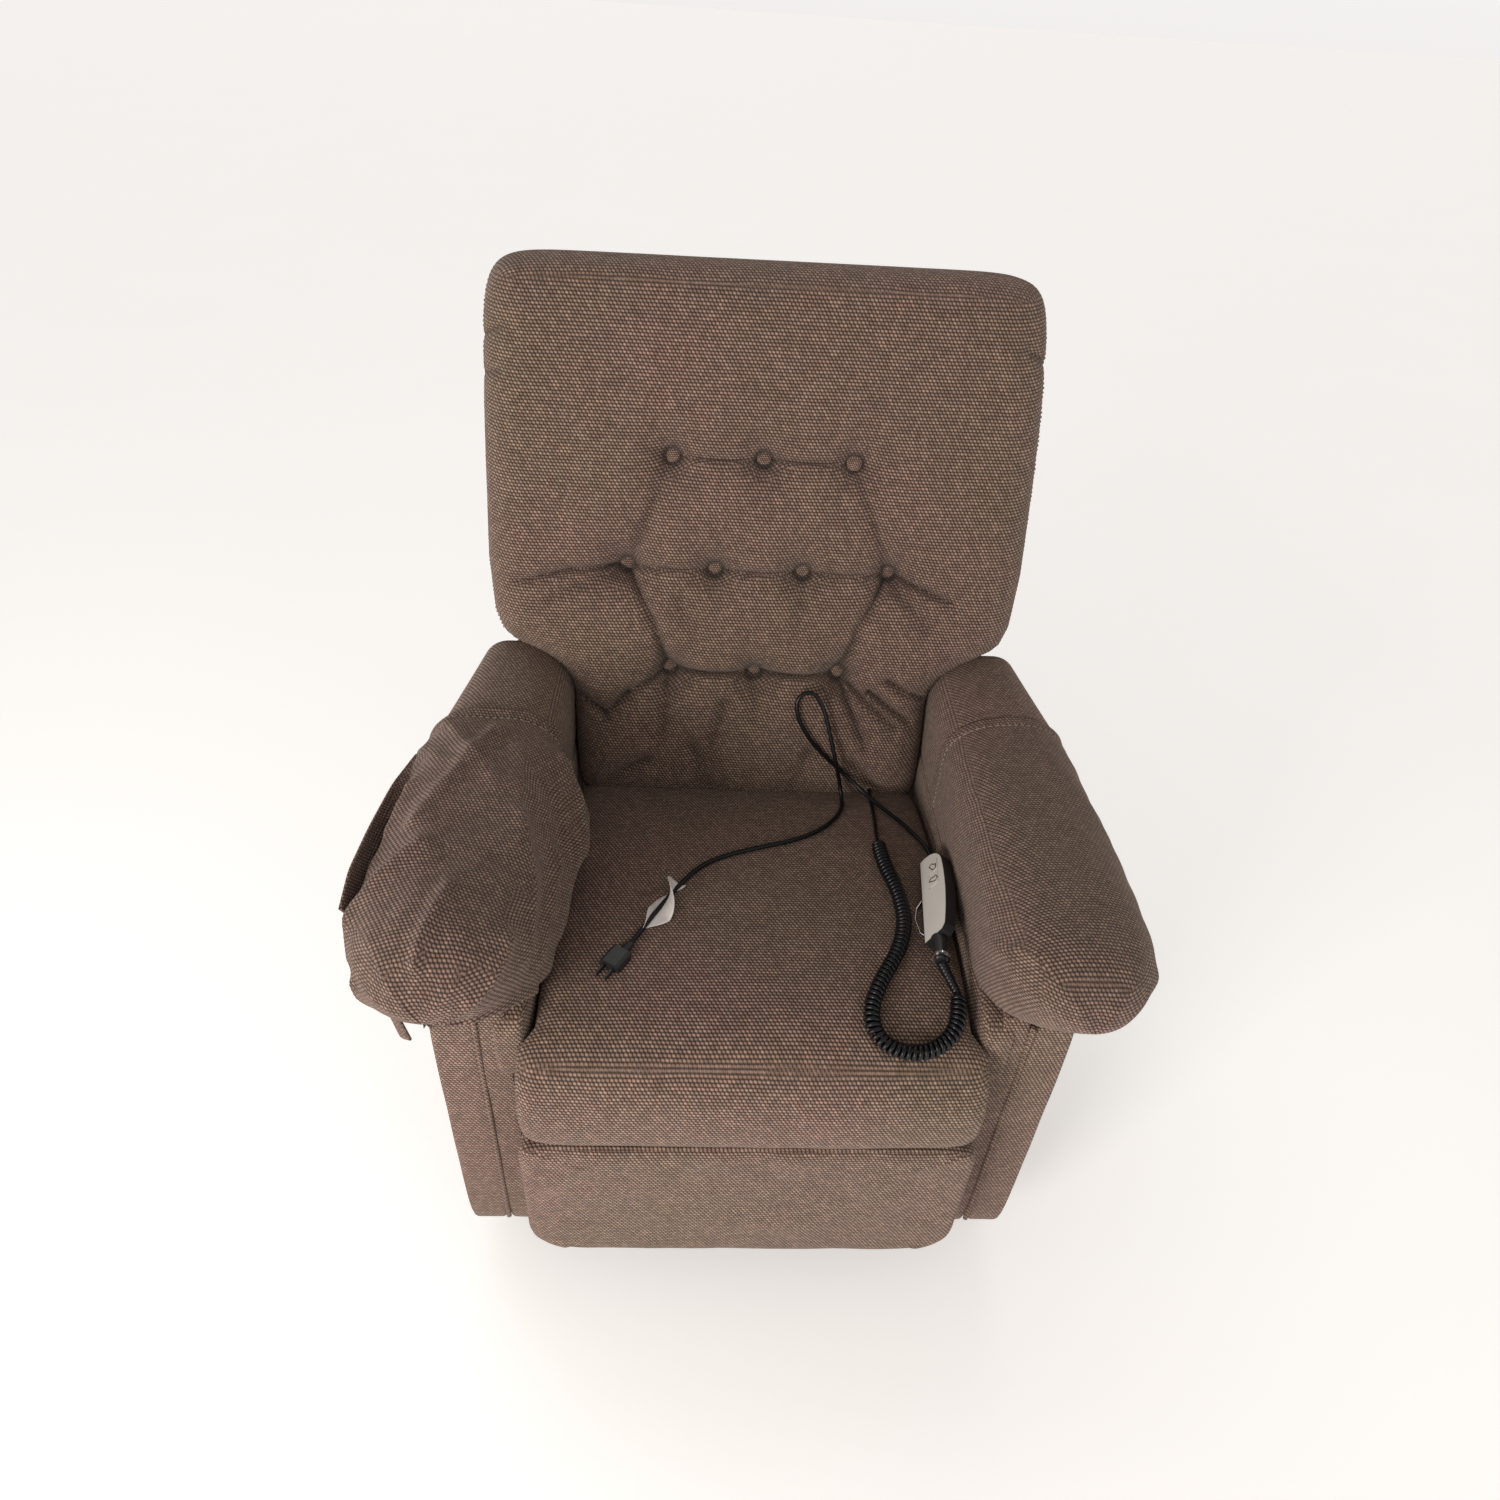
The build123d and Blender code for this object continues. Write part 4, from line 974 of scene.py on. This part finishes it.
def mechanism():
    """Materials of the CAD nodes that stay as they are."""
    by_slot = {"black_steel": STEEL, "zinc_steel": ZINC, "black_plastic": PLASTIC, "frame_wood": TIMBER,
               "cord_rubber": SHEATH, "handset_face": FACE, "bright_metal": CHROME, "woven_fabric": FABRIC}
    for part in frame["record"]["subparts"]:
        finish(part["node"], by_slot[part["material_slot"]])


def pad_grid(across, along, layers, power):
    """Places on a pad: u and v from -1 to 1 with rounded corners, w from -1 behind to 1 in front, and faces."""
    points, faces = cube_grid(across, along, layers)
    a, b, w = points.T
    ring = np.maximum(np.abs(a), np.abs(b))
    size = (np.abs(a) ** power + np.abs(b) ** power) ** (1 / power)
    scale = np.where(size > 0, ring / np.maximum(size, 1e-9), 1.0)
    return a * scale, b * scale, w, ring, np.abs(a) >= np.abs(b), faces


def puff(distance, reach):
    """How full a pad is at a distance from its edge, from 0 to 1."""
    return (1 - (1 - np.clip(distance / reach, 0, 1)) ** 2.3) ** (1 / 2.3)


SIDE_FOLDS = [
    ((-0.1776, 0.327), (-0.250, 0.322), 0.0110, 0.0052), ((-0.250, 0.322), (-0.322, 0.304), 0.0080, 0.0045),
    ((-0.1776, 0.327), (-0.275, 0.285), 0.0050, 0.0100), ((0.1776, 0.327), (0.262, 0.296), 0.0105, 0.0060),
    ((0.1776, 0.327), (0.236, 0.255), 0.0060, 0.0110), ((-0.1184, 0.182), (-0.175, 0.150), 0.0100, 0.0060),
    ((-0.175, 0.150), (-0.208, 0.118), 0.0095, 0.0070), ((-0.208, 0.118), (-0.243, 0.142), 0.0100, 0.0060),
    ((-0.1184, 0.182), (-0.128, 0.090), 0.0070, 0.0090), ((-0.085, 0.075), (-0.060, 0.010), 0.0050, 0.0100),
    ((-0.040, 0.140), (-0.070, 0.030), 0.0055, 0.0090), ((0.0, 0.182), (0.004, 0.120), 0.0040, 0.0100),
    ((0.1184, 0.182), (0.165, 0.080), 0.0095, 0.0070), ((0.1184, 0.182), (0.205, 0.110), 0.0095, 0.0060),
    ((0.165, 0.160), (0.225, 0.118), 0.0100, 0.0055), ((0.190, 0.178), (0.245, 0.150), 0.0085, 0.0050),
    ((0.085, 0.070), (0.060, 0.006), 0.0045, 0.0100), ((0.150, 0.050), (0.190, 0.010), 0.0060, 0.0080),
    ((-0.150, 0.050), (-0.200, 0.020), 0.0060, 0.0080), ((-0.366, 0.603), (-0.330, 0.618), 0.0080, 0.0045),
    ((-0.368, 0.560), (-0.336, 0.566), 0.0070, 0.0042), ((0.362, 0.600), (0.325, 0.618), 0.0070, 0.0045),
    ((-0.105, 0.285), (-0.085, 0.225), 0.0030, 0.0120), ((0.060, 0.290), (0.050, 0.230), 0.0025, 0.0140),
]


def front_lean(z):
    """How far back the arm's front stands at each height: it curves under below and over above."""
    return np.interp(z, [0.470, 0.500, 0.520, 0.560, 0.600, 0.635, 0.655],
                     [0.078, 0.056, 0.040, 0.013, 0.0, 0.004, 0.022])


NEAT_FOLDS = [
    (150, -0.36, 175, -0.30, 0.0050, 0.010), (130, -0.38, 160, -0.33, 0.0040, 0.008),
    (20, -0.37, -12, -0.31, 0.0045, 0.012), (60, -0.10, 20, -0.26, 0.0035, 0.020),
]


def stitches(name, skin, middle, inset):
    """A dashed row of pale stitches just inside a cover's hem."""
    line = []
    for k in range(skin.shape[1]):
        column = skin[:, k]
        y = column[-1, 1] - inset
        index = int(np.clip(np.searchsorted(column[:, 1], y), 1, len(column) - 1))
        share = (y - column[index - 1, 1]) / max(1e-6, column[index, 1] - column[index - 1, 1])
        line.append(column[index - 1] * (1 - share) + column[index] * share)
    line = resample(line + line[:1], 0.0042)
    places = []
    faces = []
    for start in range(0, len(line) - 3, 2):
        out = line[start] - middle
        out[1] = 0
        out /= np.linalg.norm(out)
        base = len(places)
        a, b = line[start], line[start + 1]
        across = np.array((0, 0.0008, 0))
        for end in (a, b):
            places += [end - across + out * 0.0002, end + across + out * 0.0002,
                       end + across + out * 0.0014, end - across + out * 0.0014]
        faces += [(base, base + 1, base + 2, base + 3), (base + 7, base + 6, base + 5, base + 4)]
        faces += [(base + k, base + 4 + k, base + 4 + (k + 1) % 4, base + (k + 1) % 4) for k in range(4)]
    add_mesh(name, places, faces, STITCH, "chair", smooth=False)


def ribbon(name, left, right, sag, material, rows=40, columns=9):
    """A thin strip of cloth between two lines, bellied by a little between them."""
    left = stretch(left, rows)
    right = stretch(right, rows)
    places = []
    for a, b in zip(left, right):
        for share in np.linspace(0, 1, columns):
            belly = sag * math.sin(math.pi * share)
            places.append(a * (1 - share) + b * share + np.array((-belly, -belly * 0.4, 0)))
    piece = add_mesh(name, places, grid_faces(rows, columns, False), material, "chair")
    modify(piece, "SOLIDIFY", thickness=0.0028, offset=0.0)
    return piece


def stretch(route, count):
    """A listed route in mm as an even run of smooth points in metres."""
    route = np.array(route, float) / 1000
    place = np.linspace(0, len(route) - 1, count)
    smooth = np.stack([np.interp(place, range(len(route)), route[:, axis]) for axis in range(3)], 1)
    for _ in range(3):
        smooth[1:-1] = (smooth[:-2] + 2 * smooth[1:-1] + smooth[2:]) / 4
    return smooth


def loose_flap():
    """The left cover's spare cloth: a pointed flap along its outer side, and a tie strap under its front."""
    ribbon("cover_flap", [(-410, -50, 618), (-422, -110, 612), (-430, -200, 600), (-430, -270, 590), (-424, -304, 582)],
           [(-428, -56, 616), (-440, -111, 620), (-443, -205, 629), (-443, -278, 635), (-443, -322, 622)],
           0.003, FABRIC_COVER)
    ribbon("cover_strap", [(-416, -338, 548), (-415, -340, 516), (-411, -342, 478), (-405, -342, 436)],
           [(-400, -350, 548), (-399, -352, 516), (-395, -354, 480), (-389, -353, 442)], 0.002, FABRIC_COVER, 24, 5)


SEAT_LINE = [(-0.417, 0.3265), (-0.4195, 0.352), (-0.4195, 0.382), (-0.415, 0.410), (-0.402, 0.438), (-0.378, 0.461),
             (-0.345, 0.4765), (-0.300, 0.4850), (-0.240, 0.4885), (-0.170, 0.4880), (-0.060, 0.4810),
             (0.040, 0.4650), (0.106, 0.4490)]


def seat_line(count):
    """The seat's side line as smooth, evenly spaced points from its lower front edge to the crease."""
    line = np.array(SEAT_LINE)
    points = resample(np.column_stack([line[:, 0] * 0, line]), 0.7 / count)[:, 1:]
    for _ in range(60):
        points[1:-1] = (points[:-2] + points[2:] + 2 * points[1:-1]) / 4
    return points


def shade(piece, values):
    """Marks how deep in a crease each point lies as painted shade: the fabric's colour is darkened there."""
    layer = piece.data.attributes.new("crease", "FLOAT", "POINT")
    layer.data.foreach_set("value", np.clip(values, 0, 1).astype(np.float32))


def tuft_creases(x, s):
    """Depth of the sharp creases at each place, without the soft hollows round them."""
    creases = np.zeros_like(x)
    for start, end, fold, width in tuft_folds():
        distance, share = from_segment(x, s, start, end)
        strength = 1.45 * fold * (1.1 - 0.55 * share)
        creases = np.maximum(creases, strength * np.exp(-np.abs(distance / width) ** 1.25))
    return creases


def tuft_shade(x, s):
    """Painted shade: how much the fabric's colour is darkened in the creases, round the buttons' rims and in the
    hollows round them.
    """
    dark = tuft_creases(x, s) / 0.016
    for bx, bs in button_places():
        r = np.hypot(x - bx, s - bs)
        dark = np.maximum(dark, 0.80 * bell(r - 0.0108, 0.0030) + 0.34 * bell(r, 0.034))
    return dark


def sky():
    """Studio light from all round: bright near the horizon, dimmer from straight above."""
    world = bpy.data.worlds.new("studio")
    bpy.context.scene.world = world
    world.use_nodes = True
    n = Nodes(world.node_tree)
    split = n.add("ShaderNodeSeparateXYZ")
    n.put(n.add("ShaderNodeTexCoord").outputs["Generated"], split.inputs[0])
    height = n.math("ABSOLUTE", split.outputs[2])
    colour = n.ramp(height, ((0.0, (0.945, 0.925, 0.91)), (0.30, (0.76, 0.735, 0.715)), (1.0, (0.27, 0.26, 0.25))))
    background = world.node_tree.nodes["Background"]
    n.put(colour, background.inputs["Color"])
    background.inputs["Strength"].default_value = 0.96


def distance_to_line(x, s, line):
    """Distance of each place from a closed line of points."""
    nearest = np.empty(len(x))
    for start in range(0, len(x), 8000):
        part = slice(start, start + 8000)
        gap = (x[part, None] - line[None, :, 0]) ** 2 + (s[part, None] - line[None, :, 1]) ** 2
        nearest[part] = np.sqrt(gap.min(1))
    return nearest


def back_outline(low, high, count=420):
    """The pillow's outline in the back's plane."""
    angle = np.linspace(0, 2 * math.pi, 4 * count, endpoint=False)
    corner = np.stack([np.cos(angle), np.sin(angle)], 1)
    corner /= ((np.abs(corner) ** 15).sum(1) ** (1 / 15))[:, None]
    s = (low + high) / 2 + (high - low) / 2 * corner[:, 1]
    line = np.column_stack([corner[:, 0] * back_half_width(s), s, s * 0])
    return resample(line, 0.006)[:, :2]


def soft_block(name, side, middle, half, slope=0.0):
    """A small padded block; its upper side may slope towards the back."""
    points, faces = cube_grid(16, 40, 24)
    shape = rounded(points, 6.0)
    x = middle[0] + half[0] * shape[:, 0] * (-1 if side == "left" else 1)
    y = middle[1] + half[1] * shape[:, 1]
    z = middle[2] + half[2] * shape[:, 2] + slope * (y - middle[1]) * np.clip(shape[:, 2], 0, 1)
    return add_mesh(name, np.stack([x, y, z], 1), flipped(faces, side), FABRIC, "chair")


# ---------------------------------------------------------------- studio
def camera():
    """Stands over the chair's front, a little to the left, looking down."""
    pitch = math.radians(38.14)
    yaw = math.radians(3.46)
    roll = math.radians(3.74)
    forward = Vector((math.sin(yaw) * math.cos(pitch), math.cos(yaw) * math.cos(pitch), -math.sin(pitch)))
    right = Vector((math.cos(yaw), -math.sin(yaw), 0))
    up = right.cross(forward)
    turned_right = right * math.cos(roll) + up * math.sin(roll)
    turned_up = up * math.cos(roll) - right * math.sin(roll)
    data = bpy.data.cameras.new("camera")
    data.lens = 24.42
    data.sensor_width = 36.0
    data.clip_end = 30.0
    view = bpy.data.objects.new("camera", data)
    turn = Matrix((turned_right, turned_up, -forward)).transposed().to_4x4()
    view.matrix_world = Matrix.Translation((-0.0702, CREASE_Y - 1.1713, 1.4299)) @ turn
    bpy.context.scene.collection.objects.link(view)
    bpy.context.scene.camera = view


def area_light(name, place, target, size, power, colour=(1.0, 1.0, 1.0)):
    data = bpy.data.lights.new(name, "AREA")
    data.energy = power
    data.size = size
    data.color = colour
    light = bpy.data.objects.new(name, data)
    light.location = place
    light.rotation_euler = (Vector(target) - Vector(place)).to_track_quat("-Z", "Y").to_euler()
    bpy.context.scene.collection.objects.link(light)


def studio():
    sky()
    area_light("key", (-1.6, -2.1, 1.00), (0, -0.1, 0.55), 0.9, 42, (1.0, 0.96, 0.93))
    area_light("fill", (1.5, -2.2, 0.8), (0, 0, 0.5), 1.2, 4, (1.0, 0.97, 0.95))
    sun = bpy.data.lights.new("sun", "SUN")
    sun.energy = 0.70
    sun.angle = math.radians(60)
    holder = bpy.data.objects.new("sun", sun)
    holder.rotation_euler = Vector((0.25, -0.95, -0.85)).to_track_quat("-Z", "Y").to_euler()
    bpy.context.scene.collection.objects.link(holder)
    bpy.ops.mesh.primitive_plane_add(size=400, location=(0, 0, -0.0005))
    floor = bpy.context.object
    floor.name = "floor"
    material, n, shader = new_material("pale floor")
    position = n.add("ShaderNodeTexCoord").outputs["Object"]
    tone = n.ramp(n.noise(position, 1.5, 2.0), ((0.3, (0.945, 0.930, 0.915)), (0.7, (0.955, 0.940, 0.925))))
    n.put(tone, shader.inputs["Base Color"])
    shader.inputs["Roughness"].default_value = 0.9
    shader.inputs["Emission Color"].default_value = (1.0, 0.985, 0.965, 1.0)
    shader.inputs["Emission Strength"].default_value = 0.29
    floor.data.materials.append(material)
    bpy.context.scene.view_settings.view_transform = "Standard"


camera()
studio()
mechanism()
handset()
coiled_lead()
mains_lead()
back_cushion()
covered_buttons()
outside_back()
seat_cushion()
footrest_pad()
arm_roll("right")
arm_roll("left")
arm_cover_neat()
arm_cover_loose()
arm_sides()
front_posts()
